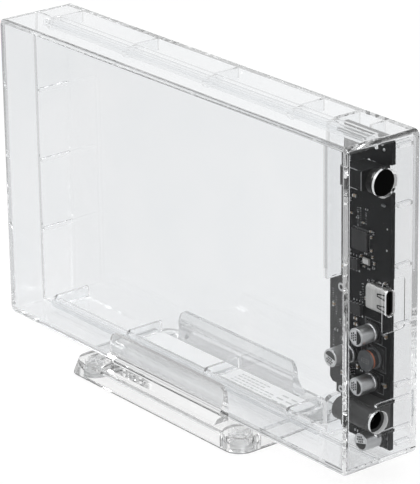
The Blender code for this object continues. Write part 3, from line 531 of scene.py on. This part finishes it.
core_low, core_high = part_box("inductor_core")
core_centre = Vector(((core_low.x + core_high.x) / 2, core_high.y, (core_low.z + core_high.z) / 2))
core_radius = (core_high.x - core_low.x) / 2
core_height = core_high.y - core_low.y
edge = 0.25 * MM
core_profile = [
    (0.0, 0.0),
    (core_radius - edge, 0.0),
    (core_radius, edge),
    (core_radius, 0.8 * MM),
    (core_radius - edge, 1.0 * MM),
    (1.7 * MM, 1.0 * MM),
    (1.7 * MM, core_height - 1.0 * MM),
    (core_radius - 0.2 * MM, core_height - 1.0 * MM),
    (core_radius - 0.05 * MM, core_height - 0.85 * MM),
    (core_radius - 0.05 * MM, core_height - 0.3 * MM),
    (core_radius - 0.3 * MM, core_height),
    (core_radius - 1.1 * MM, core_height),
    (core_radius - 1.25 * MM, core_height - 0.08 * MM),
    (0.0, core_height - 0.08 * MM),
]
Build().lathe(core_centre, core_profile, steps=64, closed=False).piece(
    "drum_core", ferrite, "ferrite", node=("inductor_core",)
)
winding = Build()
wire = 0.13 * MM
window_low, window_high = 1.0 * MM, core_height - 1.0 * MM
turn_pitch = 3.4 * wire
copper_low = window_low + 0.62 * (window_high - window_low)
turns = int((window_high - copper_low) / turn_pitch)
for layer, radius in enumerate((core_radius - 0.5 * MM, core_radius - 0.62 * MM)):
    for number in range(turns - layer):
        middle = copper_low + turn_pitch * (0.5 + number + 0.5 * layer)
        ring = [
            core_centre + Vector((radius * math.cos(angle), -middle, radius * math.sin(angle)))
            for angle in (2 * math.pi * step / 48 for step in range(48))
        ]
        winding.tube(ring, wire, 8, closed=True)
winding.piece("coil_winding", copper, "copper_wire", node=("inductor_winding",))
potting_profile = [
    (1.75 * MM, window_low + 0.02 * MM),
    (core_radius - 0.56 * MM, window_low + 0.02 * MM),
    (core_radius - 0.56 * MM, window_high - 0.02 * MM),
    (1.75 * MM, window_high - 0.02 * MM),
]
Build().lathe(core_centre, potting_profile, steps=64).piece("coil_potting", epoxy, "copper_wire")
coil_marks = Build()
for x, z, wide, tall in (
    (-1.5, 0.1, 0.3, 1.3), (-0.5, 0.1, 0.9, 0.3), (-0.5, 0.75, 0.9, 0.3), (-0.5, -0.6, 0.9, 0.3),
    (0.9, 0.1, 0.9, 0.3), (0.9, 0.75, 0.9, 0.3), (0.9, -0.6, 0.9, 0.3), (1.9, 0.1, 0.3, 1.3),
):
    coil_marks.box(
        core_centre + Vector((x * MM, -core_height + 0.07 * MM, z * MM)), (wide * MM, 0.03 * MM, tall * MM)
    )
coil_marks.piece("coil_marks", dim_ink, "white_label")
ends = Build()
for side in (-1, 1):
    middle = core_centre + Vector((side * 3.0 * MM, 0.55 * MM, side * -3.1 * MM))
    ends.box(middle, (1.5 * MM, 0.5 * MM, 1.1 * MM), 0.1 * MM)
ends.piece("coil_terminals", tin, "nickel_steel")

# ---------------------------------------------------------------- chips and their leads


def chip_sides(node):
    """Centre and half sizes of a chip on the board."""
    low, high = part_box(node)
    return (low + high) / 2, (high - low) / 2


leads = Build()
for node, count, pitch in (("flash_chip", 4, 1.27), ("buck_regulator", 4, 1.27), ("load_switch", 3, 0.95)):
    centre, half = chip_sides(node)
    for side in (-1, 1):
        for number in range(count):
            offset = (number - (count - 1) / 2) * pitch * MM
            if node == "load_switch":
                reach = side * (half.x + 0.3 * MM)
                foot = Vector((centre.x + reach, BOARD_FACE - 0.1 * MM, centre.z + offset))
                knee = Vector((centre.x + side * (half.x + 0.02 * MM), centre.y, centre.z + offset))
                leads.box(foot, (0.55 * MM, 0.14 * MM, 0.36 * MM), 0.03 * MM)
                leads.box(knee, (0.14 * MM, 2 * half.y * 0.9, 0.36 * MM), 0.03 * MM)
            else:
                reach = side * (half.z + 0.55 * MM)
                foot = Vector((centre.x + offset, BOARD_FACE - 0.1 * MM, centre.z + reach))
                knee = Vector((centre.x + offset, centre.y, centre.z + side * (half.z + 0.12 * MM)))
                leads.box(foot, (0.4 * MM, 0.16 * MM, 0.7 * MM), 0.03 * MM)
                leads.box(knee, (0.4 * MM, 1.1 * half.y, 0.22 * MM), 0.03 * MM)
centre, half = chip_sides("bridge_controller")
for side in (-1, 1):
    for number in range(12):
        offset = (number - 5.5) * 0.5 * MM
        leads.box(
            Vector((centre.x + offset, BOARD_FACE - 0.09 * MM, centre.z + side * (half.z + 0.05 * MM))),
            (0.24 * MM, 0.12 * MM, 0.4 * MM),
        )
        leads.box(
            Vector((centre.x + side * (half.x + 0.05 * MM), BOARD_FACE - 0.09 * MM, centre.z + offset)),
            (0.4 * MM, 0.12 * MM, 0.24 * MM),
        )
centre, half = chip_sides("schottky_diode")
for side in (-1, 1):
    leads.box(
        Vector((centre.x + side * (half.x + 0.3 * MM), BOARD_FACE - 0.12 * MM, centre.z)),
        (0.9 * MM, 0.2 * MM, 1.5 * MM),
        0.04 * MM,
    )
leads.piece("chip_leads", tin, "nickel_steel")

can_low, can_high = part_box("crystal")
can_centre = (can_low + can_high) / 2
lid = Build()
can_wide, can_tall = can_high.x - can_low.x, can_high.z - can_low.z
lid_inset = 0.35 * MM
lid.box(can_centre + Vector((0, 0.2 * MM, 0)), (can_wide, 0.4 * MM, can_tall), 0.08 * MM)
lid.box(
    can_centre - Vector((0, 0.15 * MM, 0)), (can_wide - lid_inset, 0.45 * MM, can_tall - lid_inset), 0.15 * MM
)
lid.piece("crystal_lid", steel, "nickel_steel", node=("crystal",))

# Small parts soldered round the chips: (x, z, lying along X or Z, long side in mm, kind).
SMALL_PARTS = (
    (174.6, 69.2, "X", 1.0, "r"), (177.9, 68.9, "Z", 1.0, "c"), (178.8, 66.9, "Z", 1.0, "c"),
    (178.4, 65.2, "X", 1.0, "r"), (172.6, 67.9, "Z", 1.0, "c"), (172.6, 65.6, "Z", 1.0, "r"),
    (174.0, 64.6, "X", 1.0, "c"), (176.2, 64.3, "X", 1.0, "r"), (177.0, 77.6, "X", 1.0, "c"),
    (178.2, 77.2, "Z", 1.0, "r"), (177.2, 75.6, "Z", 1.0, "c"), (177.3, 71.0, "Z", 1.0, "c"),
    (170.4, 45.2, "X", 1.6, "c"), (170.5, 43.2, "X", 1.6, "c"), (170.6, 41.1, "X", 1.6, "r"),
    (171.2, 28.2, "Z", 1.6, "c"), (172.9, 27.2, "X", 1.0, "r"), (172.2, 20.8, "X", 1.6, "c"),
    (166.0, 62.4, "Z", 1.6, "c"), (165.9, 67.0, "Z", 1.0, "r"), (167.5, 68.6, "X", 1.0, "r"),
    (166.2, 72.5, "Z", 1.0, "c"), (166.6, 79.4, "Z", 1.0, "r"), (168.3, 81.6, "X", 1.0, "c"),
    (170.8, 80.6, "X", 1.0, "r"), (173.5, 79.6, "X", 1.0, "c"), (165.8, 91.2, "Z", 1.6, "c"),
    (167.5, 92.5, "Z", 1.0, "r"), (165.9, 87.0, "Z", 1.0, "r"), (167.9, 86.2, "Z", 1.0, "r"),
    (169.8, 88.0, "X", 1.6, "c"), (184.4, 61.6, "Z", 1.0, "c"), (185.3, 61.2, "Z", 1.0, "r"),
    (176.0, 60.3, "X", 1.0, "r"), (178.2, 60.8, "X", 1.0, "r"), (174.6, 53.6, "Z", 1.0, "c"),
    (172.3, 54.6, "Z", 1.0, "r"), (184.8, 43.2, "Z", 1.6, "c"), (184.6, 25.6, "Z", 1.6, "c"),
    (161.3, 47.6, "Z", 1.6, "c"), (162.6, 38.6, "X", 1.6, "r"), (164.2, 42.4, "Z", 1.0, "r"),
    (165.6, 24.2, "Z", 1.6, "c"), (167.2, 21.8, "X", 1.6, "r"), (163.0, 27.0, "Z", 1.0, "c"),
    (169.4, 8.0, "Z", 1.6, "c"), (170.8, 4.9, "X", 1.6, "r"), (172.6, 7.2, "Z", 1.0, "c"),
    (175.0, 84.6, "X", 1.0, "r"), (169.8, 97.4, "Z", 1.0, "r"), (171.6, 104.0, "X", 1.0, "c"),
)
bodies = {"r": Build(), "c": Build()}
caps = Build()
for x, z, lying, size, kind in SMALL_PARTS:
    width = 0.52 * size
    tall = 0.35 * size if kind == "r" else 0.5 * size
    middle = on_board(x, z, tall / 2 + 0.04)
    long_side = Vector((size, 0, 0)) if lying == "X" else Vector((0, 0, size))
    body_size = (size * 0.56, tall, width)
    end_size = (size * 0.24, tall + 0.04, width + 0.04)
    if lying == "Z":
        body_size, end_size = body_size[::-1], end_size[::-1]
    bodies[kind].box(middle, [value * MM for value in body_size], 0.02 * MM)
    for side in (-1, 1):
        caps.box(middle + side * 0.39 * MM * long_side, [value * MM for value in end_size], 0.04 * MM)
bodies["r"].piece("resistor_bodies", epoxy, "chip_epoxy")
bodies["c"].piece("ceramic_bodies", ceramic, "chip_epoxy")
caps.piece("small_part_ends", tin, "nickel_steel")

# ---------------------------------------------------------------- print and pads on the board

pads = Build()
for x, z, outer, inner in ((164.4, 54.3, 1.5, 0.8), (164.4, 17.7, 1.25, 0.55)):
    profile = [(inner * MM, 0.0), (inner * MM, 0.05 * MM), (outer * MM, 0.05 * MM), (outer * MM, 0.0)]
    pads.lathe(on_board(x, z, 0.0), profile, steps=40)
for x, z, radius, tall in (
    (175.8, 101.5, 0.72, 0.35), (182.8, 107.0, 0.55, 0.3), (165.5, 24.2, 0.3, 0.12),
    (183.3, 42.9, 0.45, 0.12), (183.4, 25.6, 0.45, 0.12), (166.4, 106.4, 0.35, 0.1),
    (170.2, 107.8, 0.35, 0.1), (184.4, 73.0, 0.35, 0.08), (184.6, 80.4, 0.3, 0.08), (171.0, 13.2, 0.3, 0.08),
):
    quarter = [0.5 * math.pi * step / 5 for step in range(5)]
    dome = [(radius * MM * math.cos(angle), tall * MM * math.sin(angle)) for angle in quarter]
    pads.lathe(on_board(x, z), [(0.0, 0.0)] + dome + [(0.0, tall * MM)], steps=20, closed=False)
for side in (-1, 1):
    for x, wide in ((181.2, 1.6), (185.4, 0.9)):
        pads.box(on_board(x, 55.9 + side * 4.9, 0.08), (wide * MM, 0.12 * MM, 0.6 * MM), 0.04 * MM)
pads.piece("solder_pads", tin, "nickel_steel")


def stroke(build, x0, z0, x1, z1, width=0.2, thick=0.03, point=on_board):
    """A straight printed line on the board, on the face that point gives."""
    start = point(x0, z0, thick / 2)
    end = point(x1, z1, thick / 2)
    length = (end - start).length + width * MM
    angle = math.atan2(z1 - z0, x1 - x0)
    build.box((start + end) / 2, (length, thick * MM, width * MM), turn=-angle, axis="Y")


def frame_of(build, x0, z0, x1, z1, width=0.2, point=on_board):
    """A printed rectangle."""
    for ends in ((x0, z0, x1, z0), (x1, z0, x1, z1), (x1, z1, x0, z1), (x0, z1, x0, z0)):
        stroke(build, *ends, width, point=point)


bright, faint = Build(), Build()
frame_of(faint, 174.2, 39.3, 182.5, 46.9)
frame_of(faint, 174.6, 21.8, 183.4, 28.7)
frame_of(faint, 175.2, 29.7, 184.4, 39.0, 0.16)
frame_of(faint, 168.6, 69.6, 176.2, 77.2, 0.14)
frame_of(faint, 173.4, 93.6, 183.3, 101.6, 0.1)
stroke(faint, 173.7, 99.4, 173.7, 101.2)
stroke(bright, 175.4, 101.9, 176.6, 101.9, 0.1)
stroke(bright, 177.2, 101.9, 178.9, 101.9, 0.1)
frame_of(faint, 177.0, 3.0, 185.6, 10.4, 0.16)
frame_of(faint, 163.9, 28.6, 172.4, 36.4, 0.14)
stroke(bright, 164.9, 63.8, 165.1, 66.0, 0.22)
stroke(bright, 166.2, 63.2, 166.4, 65.3, 0.22)
stroke(bright, 165.0, 58.0, 165.5, 59.9, 0.22)
stroke(bright, 166.4, 57.4, 166.5, 59.0, 0.22)
stroke(bright, 164.4, 35.2, 165.8, 37.0, 0.18)
stroke(bright, 165.9, 35.4, 164.4, 36.8, 0.18)
print_random = random.Random(7)
# Columns of dashes that spell nothing: (x, lowest z, highest z, pitch) in millimetres.
for x, z_low, z_high, pitch in (
    (170.7, 77.9, 84.4, 0.62), (171.9, 78.2, 84.8, 0.62), (174.4, 79.4, 83.6, 0.7),
    (165.0, 44.6, 52.0, 0.75), (166.1, 43.9, 51.2, 0.75), (164.3, 40.6, 43.4, 0.7),
    (166.0, 84.8, 91.8, 0.8), (164.9, 95.0, 101.0, 0.8), (177.8, 64.6, 69.6, 0.8),
    (172.0, 52.2, 55.4, 0.62), (165.6, 68.4, 78.6, 0.9), (166.4, 21.4, 26.4, 0.8),
    (184.9, 60.0, 62.6, 0.7), (170.2, 40.2, 45.8, 0.8), (165.3, 96.0, 106.5, 0.7),
    (166.9, 84.0, 96.5, 0.7), (165.4, 60.4, 68.0, 0.8), (167.2, 98.2, 104.8, 0.75),
    (160.6, 31.0, 38.0, 0.8), (162.0, 44.0, 50.5, 0.7), (173.0, 50.6, 58.6, 0.95),
    (160.4, 47.5, 53.5, 0.9),
):
    z = z_low
    while z < z_high:
        span = print_random.uniform(0.35, 0.8)
        target = bright if print_random.random() < 0.25 else faint
        stroke(target, x - span / 2, z, x + span / 2, z + print_random.uniform(-0.12, 0.12), 0.17)
        z += pitch * print_random.uniform(0.8, 1.3)
bright.piece("board_print", ink, "white_label")
faint.piece("board_print_faint", dim_ink, "white_label")

traces = Build()
trace_random = random.Random(11)
for _ in range(46):
    x = trace_random.uniform(166.0, 184.5)
    z = trace_random.uniform(6.0, 106.0)
    length = trace_random.uniform(2.0, 9.0)
    bend = trace_random.choice((-1, 1)) * trace_random.uniform(0.8, 2.4)
    low_x, high_x = 165.4, 185.2
    x_end = min(max(x + bend, low_x), high_x)
    z_mid = min(z + length, 107.0)
    z_end = min(z_mid + abs(x_end - x), 109.0)
    stroke(traces, x, z, x, z_mid, 0.22, 0.012)
    stroke(traces, x, z_mid, x_end, z_end, 0.22, 0.012)
traces.piece("board_traces", solder_mask, "solder_mask")

# ---------------------------------------------------------------- back of the board

# Through-hole joints of the jack, the switch and the USB tabs: (x, z, radius) in millimetres.
REAR_JOINTS = (
    (174.6, 15.8, 1.25), (179.6, 15.8, 1.25), (183.4, 20.2, 1.1), (175.7, 96.0, 0.7), (175.7, 98.5, 0.7),
    (175.7, 101.0, 0.7), (181.2, 51.0, 0.8), (181.2, 60.8, 0.8), (185.0, 51.0, 0.6), (185.0, 60.8, 0.6),
)
CONTACT_PITCH = 1.27
joints = Build()
for x, z, radius in REAR_JOINTS:
    cone = [
        (0.0, 0.0), (radius * MM, 0.0), (radius * 0.62 * MM, 0.2 * MM), (radius * 0.3 * MM, 0.55 * MM),
        (0.0, 0.6 * MM),
    ]
    joints.lathe(behind_board(x, z), cone, axis="Y", steps=24, closed=False)
for low_z, count in ((18.2, 7), (29.6, 15)):
    for number in range(count):
        middle = behind_board(168.4, low_z + number * CONTACT_PITCH, 0.08)
        joints.box(middle, (1.5 * MM, 0.14 * MM, 0.6 * MM), 0.03 * MM)
joints.piece("rear_solder_joints", tin, "nickel_steel")

rear_random = random.Random(5)
rear_print, rear_traces = Build(), Build()
frame_of(rear_print, 169.8, 16.8, 172.2, 57.0, 0.16, behind_board)
frame_of(rear_print, 172.8, 93.6, 179.0, 103.2, 0.16, behind_board)
frame_of(rear_print, 172.9, 12.6, 181.6, 19.0, 0.16, behind_board)
for x, low_z, high_z in ((167.2, 62.0, 74.0), (175.8, 64.0, 82.0), (182.6, 70.0, 90.0), (176.6, 24.0, 40.0)):
    z = low_z
    while z < high_z:
        span = rear_random.uniform(0.4, 0.95)
        stroke(rear_print, x - span / 2, z, x + span / 2, z, 0.17, point=behind_board)
        z += rear_random.uniform(0.6, 1.1)
for _ in range(44):
    x = rear_random.uniform(170.5, 184.0)
    z = rear_random.uniform(22.0, 98.0)
    rise = rear_random.uniform(3.0, 10.0)
    bend = rear_random.choice((-1, 1)) * rear_random.uniform(0.8, 2.0)
    top = min(z + rise, 106.0)
    stroke(rear_traces, x, z, x, top, 0.25, 0.02, behind_board)
    stroke(rear_traces, x, top, x + bend, min(top + abs(bend), 108.0), 0.25, 0.02, behind_board)
rear_print.piece("rear_board_print", dim_ink, "white_label")
rear_traces.piece("rear_board_traces", black_plastic, "solder_mask")

# ---------------------------------------------------------------- sockets and switch

usb_low, usb_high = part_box("usb_c_shell")
usb_centre = (usb_low + usb_high) / 2
tongue_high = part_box("usb_c_tongue")[1]
contacts = Build()
for side in (-1, 1):
    for number in range(12):
        z = usb_centre.z + (number - 5.5) * 0.5 * MM
        contacts.box(
            (tongue_high.x - 2.2 * MM, usb_centre.y + side * 0.37 * MM, z), (3.6 * MM, 0.05 * MM, 0.26 * MM)
        )
contacts.piece("usb_c_contacts", gold, "gold_contact")
# A near-black block just inside the USB mouth, filling the opening: painted shade.
mouth = Build()
mouth_face = usb_high.x - 0.25 * MM
for side in (-1, 1):
    mouth.box(
        (mouth_face - 0.4 * MM, usb_centre.y + side * 0.84 * MM, usb_centre.z),
        (0.8 * MM, 0.7 * MM, 7.2 * MM),
        0.2 * MM,
    )
    mouth.box(
        (mouth_face - 0.4 * MM, usb_centre.y, usb_centre.z + side * 3.82 * MM),
        (0.8 * MM, 1.3 * MM, 0.6 * MM),
        0.2 * MM,
    )
mouth.box((mouth_face - 0.5 * MM, usb_centre.y, usb_centre.z), (0.6 * MM, 0.9 * MM, 7.0 * MM), 0.1 * MM)
mouth.piece("usb_c_mouth_painted_shade", shade_and_gap_black, "black_plastic")
tabs = Build()
for side in (-1, 1):
    for x in (usb_low.x + 1.8 * MM, usb_high.x - 2.6 * MM):
        tabs.box(
            (x, (usb_high.y + BOARD_FACE) / 2, usb_centre.z + side * 4.25 * MM),
            (1.1 * MM, BOARD_FACE - usb_high.y, 0.3 * MM),
        )
tabs.piece("usb_c_tabs", steel, "nickel_steel")


def on_usb(x, z, proud=0.0):
    """A point on the front of the USB shell: x back from its mouth and z up from its axis, in millimetres."""
    return Vector((usb_high.x - x * MM, usb_low.y - proud * MM, usb_centre.z + z * MM))


gaps = Build()
for side in (-1, 1):
    middle = 2.0 * side
    for flank in (-1, 1):
        tip, root = (0.9, middle + 0.95 * flank), (5.2, middle + 0.4 * flank)
        start, end = on_usb(*root, 0.015), on_usb(*tip, 0.015)
        angle = math.atan2(end.z - start.z, end.x - start.x)
        gaps.box((start + end) / 2, ((end - start).length, 0.03 * MM, 0.42 * MM), turn=-angle)
    gaps.box(on_usb(5.2, middle, 0.015), (0.4 * MM, 0.03 * MM, 1.15 * MM))
    gaps.box(on_usb(2.6, middle, 0.015), (0.3 * MM, 0.03 * MM, 1.4 * MM))
gaps.piece("usb_c_spring_gaps", shade_and_gap_black, "black_plastic")

jack_low, jack_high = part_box("dc_jack_body")
jack_centre = Vector((jack_high.x, jack_low.y + 4.0 * MM, (jack_low.z + jack_high.z) / 2))
# The bore is lined in near-black, darker than the jack's own black plastic: painted shade inside the hole.
bore = Build()
bore_radius = 3.14 * MM
bore_depth = 9.0 * MM
bore.lathe(
    jack_centre - Vector((bore_depth, 0, 0)),
    [
        (bore_radius, 0.0),
        (bore_radius, bore_depth - 0.3 * MM),
        (bore_radius - 0.15 * MM, bore_depth - 0.3 * MM),
        (bore_radius - 0.15 * MM, 0.5 * MM),
        (0.0, 0.5 * MM),
        (0.0, 0.0),
    ],
    axis="X",
    steps=40,
    closed=False,
)
bore.piece("dc_jack_bore", shade_and_gap_black, "black_plastic")


def hole_lining(name, start, end, material, slot):
    """Part of a thin ring just inside the end wall's hole for the jack, between two angles from +Y to +Z."""
    lining = Build()
    outer, inner = 3.94 * MM, 3.86 * MM
    near, far = jack_high.x + 0.45 * MM, SHELL_HIGH.x - 0.1 * MM
    steps = 32
    rings = []
    for step in range(steps + 1):
        angle = start + (end - start) * step / steps
        across, rise = math.cos(angle), math.sin(angle)
        rings.append(
            [
                lining.mesh.verts.new((x, jack_centre.y + radius * across, jack_centre.z + radius * rise))
                for x, radius in ((near, inner), (far, inner), (far, outer), (near, outer))
            ]
        )
    for before, after in zip(rings, rings[1:]):
        for corner in range(4):
            following = (corner + 1) % 4
            lining.mesh.faces.new((before[corner], before[following], after[following], after[corner]))
    lining.mesh.faces.new(list(reversed(rings[0])))
    lining.mesh.faces.new(rings[-1])
    lining.piece(name, material, slot)


# Painted highlight on the side away from the main camera, in pale frosted plastic, and painted shade in black
# on the side
# nearest it: this imitates what that view shows through the clear wall. A real hole looks alike all round.
hole_lining("jack_hole_painted_highlight", -0.72 * math.pi, 0.42 * math.pi, frosted_painted_highlight, "clear_shell")
hole_lining("jack_hole_painted_shade", 0.46 * math.pi, 1.24 * math.pi, shade_and_gap_black, "black_plastic")

switch_low, switch_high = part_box("switch_body")
switch_centre = (switch_low + switch_high) / 2
switch_size = switch_high - switch_low
# The switch bracket's edges as thin strips: a real bracket, its metal shine painted on in bright grey as
# glint.
bracket_highlights = Build()
for z in (switch_low.z + 0.12 * MM, switch_high.z - 0.12 * MM):
    middle = (switch_centre.x - 0.9 * MM, switch_low.y - 0.02 * MM, z)
    bracket_highlights.box(middle, (switch_size.x - 2.2 * MM, 0.05 * MM, 0.18 * MM))
for z in (switch_low.z + 0.1 * MM, switch_high.z - 0.1 * MM):
    middle = (switch_high.x - 0.35 * MM, switch_centre.y, z)
    bracket_highlights.box(middle, (0.16 * MM, switch_size.y - 0.6 * MM, 0.16 * MM))
middle = (switch_high.x - 0.3 * MM, switch_low.y + 0.05 * MM, switch_centre.z)
bracket_highlights.box(middle, (0.18 * MM, 0.18 * MM, 6.4 * MM), 0.04 * MM)
bracket_highlights.piece("switch_bracket", painted_glint, "nickel_steel")
pins = Build()
for z in (-2.5, 0.0, 2.5):
    pins.box(
        (switch_low.x + 1.2 * MM, (switch_high.y + BOARD_FACE) / 2, switch_centre.z + z * MM),
        (0.6 * MM, BOARD_FACE - switch_high.y, 0.5 * MM),
    )
pins.piece("switch_pins", tin, "nickel_steel")

# ---------------------------------------------------------------- print on the floor label

label_low, label_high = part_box("rating_label")
label_print = Build()
label_random = random.Random(3)
for row in range(5):
    y = label_low.y + (1.7 + row * 1.75) * MM
    x = label_low.x + 4.0 * MM
    limit = label_high.x - (16.0 if row < 3 else 22.0) * MM
    while x < limit:
        length = label_random.uniform(0.8, 2.4) * MM
        label_print.box((x + length / 2, y, label_high.z + 0.012 * MM), (length, 0.62 * MM, 0.02 * MM))
        x += length + 0.5 * MM
for x_off, width in ((-11.5, 3.2), (-6.8, 3.2)):
    for y_off in (2.4, 5.0, 7.6):
        label_print.box(
            (label_high.x + x_off * MM, label_low.y + y_off * MM, label_high.z + 0.012 * MM),
            (width * MM, 0.8 * MM, 0.02 * MM),
        )
label_print.piece("label_print", grey_ink, "white_label")

# ---------------------------------------------------------------- painted shade along the lower edges of the clear mouldings


def tray_foot_line():
    """Grey line round the foot of the tray: painted shadow where the tray meets the floor."""
    low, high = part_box("cradle")
    radius = 6.2 * MM
    inset = 0.2 * MM
    points = []
    corners = (
        (high.x - radius, high.y - radius, 0.0),
        (low.x + radius, high.y - radius, 0.5 * math.pi),
        (low.x + radius, low.y + radius, math.pi),
        (high.x - radius, low.y + radius, 1.5 * math.pi),
    )
    reach, lift, corner_steps = radius - inset, 0.16 * MM, 8
    for x, y, start in corners:
        for step in range(corner_steps + 1):
            angle = start + 0.5 * math.pi * step / corner_steps
            points.append(
                Vector((x + reach * math.cos(angle), y + reach * math.sin(angle), low.z + lift))
            )
    Build().tube(points, 0.13 * MM, 8, closed=True, normal=UP).piece(
        "tray_foot_line", painted_shade_grey, "clear_cradle", body="cradle"
    )


def cover_edge_lines():
    """Grey line along the lower front edge of the cover: painted shade for the dark edge there."""
    low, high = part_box("sliding_cover")
    inset = 0.78 * MM
    ends = [Vector((x, low.y + inset, low.z + inset)) for x in (low.x + 2.4 * MM, high.x - 0.3 * MM)]
    Build().tube(ends, 0.12 * MM, 8).piece("cover_lower_edge", painted_shade_grey, "clear_shell", body="cover")


tray_foot_line()
cover_edge_lines()

# ---------------------------------------------------------------- floor, light and camera


FLOOR_HALF = 4.0
FLOOR_LEVEL = -0.3 * MM
FLOOR_GLOW = 0.86
# Passes through plastic beyond which the floor's dimming is eased, and what is left of the dimming there.
TRAPPED_PASSES = 2.5
TRAPPED_DIMMING = 0.45


def build_floor():
    """A pale floor. Seen directly it is plain, but rays that a surface has mirrored see it darker, and
    darkest past the enclosure's right end, so that it does not whiten the black board."""
    mesh = bpy.data.meshes.new("floor")
    half, level = FLOOR_HALF, FLOOR_LEVEL
    corners = [(-half, -half, level), (half, -half, level), (half, half, level), (-half, half, level)]
    mesh.from_pydata(corners, [], [(0, 1, 2, 3)])
    floor = bpy.data.objects.new("floor", mesh)
    material, tree, shader = new_material("pale_floor")
    path = add(tree, "ShaderNodeLightPath")
    shallow = add(tree, "ShaderNodeMath", operation="LESS_THAN")
    tree.links.new(path.outputs["Transmission Depth"], shallow.inputs[0])
    shallow.inputs[1].default_value = TRAPPED_PASSES
    trapped = between(tree, shallow.outputs["Value"], TRAPPED_DIMMING, 1.0)
    mirrored = add(tree, "ShaderNodeMath", operation="MINIMUM")
    tree.links.new(path.outputs["Glossy Depth"], mirrored.inputs[0])
    mirrored.inputs[1].default_value = 1.0
    dimmed = add(tree, "ShaderNodeMath", operation="MULTIPLY")
    tree.links.new(mirrored.outputs["Value"], dimmed.inputs[0])
    tree.links.new(trapped, dimmed.inputs[1])
    cloud = noise(tree, 3.0)
    place = add(tree, "ShaderNodeTexCoord")
    split = add(tree, "ShaderNodeSeparateXYZ")
    tree.links.new(place.outputs["Object"], split.inputs["Vector"])
    beside = add(tree, "ShaderNodeMapRange")
    beside.inputs["From Min"].default_value = SHELL_HIGH.x - 10.0 * MM
    beside.inputs["From Max"].default_value = SHELL_HIGH.x + 60.0 * MM
    tree.links.new(split.outputs["X"], beside.inputs["Value"])
    # Each colour seen directly, mirrored over the enclosure's length, and mirrored past its right end.
    for socket, plain, left, right in (("Base Color", 0.14, 0.08, 0.02), ("Emission Color", 1.0, 0.44, 0.07)):
        mix = add(tree, "ShaderNodeMix", data_type="RGBA")
        sockets = [item for item in mix.inputs if item.enabled]
        tree.links.new(dimmed.outputs["Value"], sockets[0])
        tree.links.new(ramp(tree, cloud, [(0.3, plain), (0.7, plain * 0.98)]), sockets[1])
        tree.links.new(ramp(tree, beside.outputs["Result"], [(0.0, left), (1.0, right)]), sockets[2])
        tree.links.new([item for item in mix.outputs if item.enabled][0], shader.inputs[socket])
    shader.inputs["Roughness"].default_value = 0.9
    shader.inputs["Specular IOR Level"].default_value = 0.0
    shader.inputs["Emission Strength"].default_value = FLOOR_GLOW
    mesh.materials.append(material)
    scene.collection.objects.link(floor)


# The side of the room that is grey. It was chosen as the side the main camera stands on, and stays put.
GREY_SIDE = (0.72, -0.62, 0.1)
ROOM_TONES = [(0.0, 1.0), (0.45, 0.95), (0.62, 0.7), (0.85, 0.45), (1.0, 0.35)]


def build_world():
    """Soft studio light fixed in the room: white on one side, shading to grey on the other."""
    world = bpy.data.worlds.new("studio")
    world.use_nodes = True
    tree = world.node_tree
    background = tree.nodes["Background"]
    place = add(tree, "ShaderNodeTexCoord")
    facing = add(tree, "ShaderNodeVectorMath", operation="DOT_PRODUCT")
    facing.inputs[1].default_value = GREY_SIDE
    tree.links.new(place.outputs["Generated"], facing.inputs[0])
    scaled = add(tree, "ShaderNodeMapRange")
    scaled.inputs["From Min"].default_value = -1.0
    scaled.inputs["From Max"].default_value = 1.0
    tree.links.new(facing.outputs["Value"], scaled.inputs["Value"])
    shade = ramp(tree, scaled.outputs["Result"], ROOM_TONES)
    tree.links.new(shade, background.inputs["Color"])
    background.inputs["Strength"].default_value = 1.0
    scene.world = world


def area_light(name, place, target, size, power):
    """A soft rectangular light aimed at a point."""
    data = bpy.data.lights.new(name, "AREA")
    data.shape = "RECTANGLE"
    data.size, data.size_y = size
    data.energy = power
    light = bpy.data.objects.new(name, data)
    light.location = place
    light.rotation_euler = (Vector(target) - Vector(place)).to_track_quat("-Z", "Y").to_euler()
    scene.collection.objects.link(light)


CAMERA_TARGET = Vector((0.00558, 0.0, 0.05868))
CAMERA_DISTANCE = 1.0288
CAMERA_AZIMUTH = math.radians(51.59)
CAMERA_ELEVATION = math.radians(21.0)
CAMERA_ROLL = math.radians(-0.82)
FOCAL_PIXELS = 2984.7
IMAGE_HEIGHT = 484


def build_camera():
    """Camera at the studio view's angle, no shift and no depth of field."""
    data = bpy.data.cameras.new("camera")
    data.sensor_fit = "VERTICAL"
    data.sensor_height = 24.0
    data.lens = FOCAL_PIXELS * data.sensor_height / IMAGE_HEIGHT
    data.clip_start = 0.01
    data.clip_end = 50.0
    back = Vector(
        (
            math.sin(CAMERA_AZIMUTH) * math.cos(CAMERA_ELEVATION),
            -math.cos(CAMERA_AZIMUTH) * math.cos(CAMERA_ELEVATION),
            math.sin(CAMERA_ELEVATION),
        )
    )
    side = UP.cross(back).normalized()
    top = back.cross(side)
    right = side * math.cos(CAMERA_ROLL) + top * math.sin(CAMERA_ROLL)
    above = top * math.cos(CAMERA_ROLL) - side * math.sin(CAMERA_ROLL)
    camera = bpy.data.objects.new("camera", data)
    matrix = Matrix((right, above, back)).transposed().to_4x4()
    matrix.translation = CAMERA_TARGET + back * CAMERA_DISTANCE
    camera.matrix_world = matrix
    scene.collection.objects.link(camera)
    scene.camera = camera


build_floor()
build_world()
area_light("softbox_top", (-0.1, -0.15, 1.1), (0.0, 0.0, 0.06), (1.0, 0.8), 7.0)
area_light("softbox_right", (1.0, -0.5, 0.75), (0.05, 0.0, 0.06), (0.5, 0.7), 5.0)
build_camera()

scene.view_settings.view_transform = "Standard"
scene.cycles.use_denoising = True
scene.cycles.max_bounces = 72
scene.cycles.transmission_bounces = 64
scene.cycles.glossy_bounces = 64
scene.cycles.diffuse_bounces = 4
scene.cycles.transparent_max_bounces = 16
